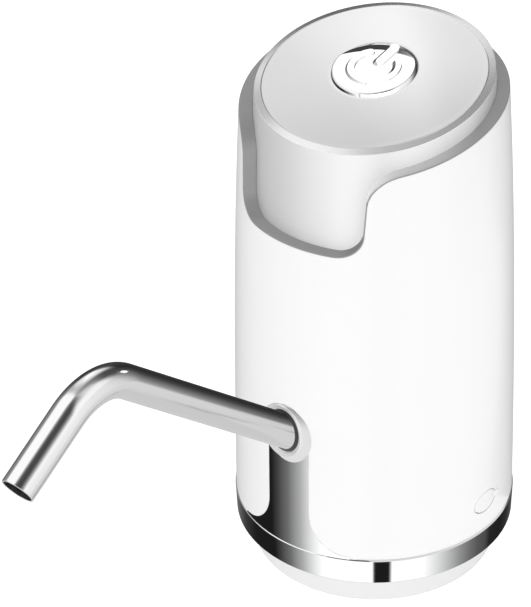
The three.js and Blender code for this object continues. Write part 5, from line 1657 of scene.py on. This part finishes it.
    def room(self) -> None:
        """Light the room: soft all round for plain surfaces, with panels and dark walls for glossy ones."""
        world = bpy.data.worlds.new("studio")
        bpy.context.scene.world = world
        world.use_nodes = True
        kit = Shading(world.node_tree)
        parts = kit.node("ShaderNodeSeparateXYZ", {0: kit.node("ShaderNodeTexCoord").outputs["Generated"]})
        x, y, height = parts.outputs
        ways = (self.from_fit(Vector(way)) for way in ((0.0, -1.0, 0.0), (1.0, 0.0, 0.0)))
        ahead, aside = (kit.math("ADD", kit.math("MULTIPLY", x, way.x), kit.math("MULTIPLY", y, way.y))
                        for way in ways)
        turned = kit.math("DIVIDE", kit.math("ARCTAN2", aside, ahead), 2.0 * math.pi)
        bearing = kit.math("ADD", turned, 0.5)
        sunk = kit.math("ADD", height, kit.math("MULTIPLY", ahead, self.skirting_lean))
        seen = self.wall(kit, bearing, self.beneath)
        levels = (sunk, height, height, height)
        walls = (self.skirting, self.horizon, self.middle, self.ceiling)
        for level, (low, high), wall in zip(levels, self.joins, walls):
            climb = kit.node("ShaderNodeMapRange", {"Value": level, "From Min": low, "From Max": high},
                             interpolation_type="SMOOTHSTEP")
            seen = self.mix(kit, climb.outputs["Result"], seen, self.wall(kit, bearing, wall))
        diffuse = kit.node("ShaderNodeLightPath").outputs["Is Diffuse Ray"]
        light = self.mix(kit, diffuse, seen, self.wall(kit, bearing, self.daylight))
        kit.feed(kit.tree.nodes["Background"], {"Color": light})

    @staticmethod
    def mix(kit: Shading, share: Socket, first: Socket, second: Socket) -> Socket:
        """Mix two colours by a share."""
        mixed = kit.node("ShaderNodeMix", {"Factor": share, "A": first, "B": second}, data_type="RGBA")
        return mixed.outputs["Result"]

    @staticmethod
    def wall(kit: Shading, bearing: Socket, stops: Pairs) -> Socket:
        """Add a wall.

        Args:
            kit: the world's tree.
            bearing: where a ray points, as a share of a turn that is half way at the camera's bearing.
            stops: degrees from the camera's bearing, to the right, and brightness.

        Returns:
            The wall's colour.
        """
        ramp = kit.node("ShaderNodeValToRGB", {"Fac": bearing})
        elements = ramp.color_ramp.elements
        elements.remove(elements[-1])
        for index, (degrees, bright) in enumerate(stops):
            at = degrees / 360.0 + 0.5
            element = elements[0] if index == 0 else elements.new(at)
            element.position = at
            element.color = (bright, bright, bright, 1.0)
        return ramp.outputs["Color"]

    def build(self) -> None:
        """Set up the floor, the cards, the light and the camera."""
        self.floor()
        self.lay_cards()
        self.room()
        self.camera()
        bpy.context.scene.view_settings.view_transform = "Standard"
        bpy.context.scene.view_settings.look = "None"
        LOG.info("studio ready")


def main() -> None:
    """Load the fixed frame and build each sub-assembly round it."""
    logging.basicConfig(level=logging.INFO, format="%(name)s: %(message)s")
    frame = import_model()
    Studio().build()
    Inside().dress(frame)
    shell = Shell()
    shell.shell()
    shell.edge_band()
    cap = Cap()
    cap.cap()
    cap.panel()
    PowerButton().build()
    trim = Trim()
    trim.build_ring()
    trim.build_bezel()
    spout = Spout()
    spout.build_tube()
    spout.build_bush()
    PortCover().build()
    under = Underside()
    under.build_collar()
    under.build_gasket()
    under.build_nipple()
    under.build_nut()
    under.build_screws()


if __name__ == "__main__":
    main()
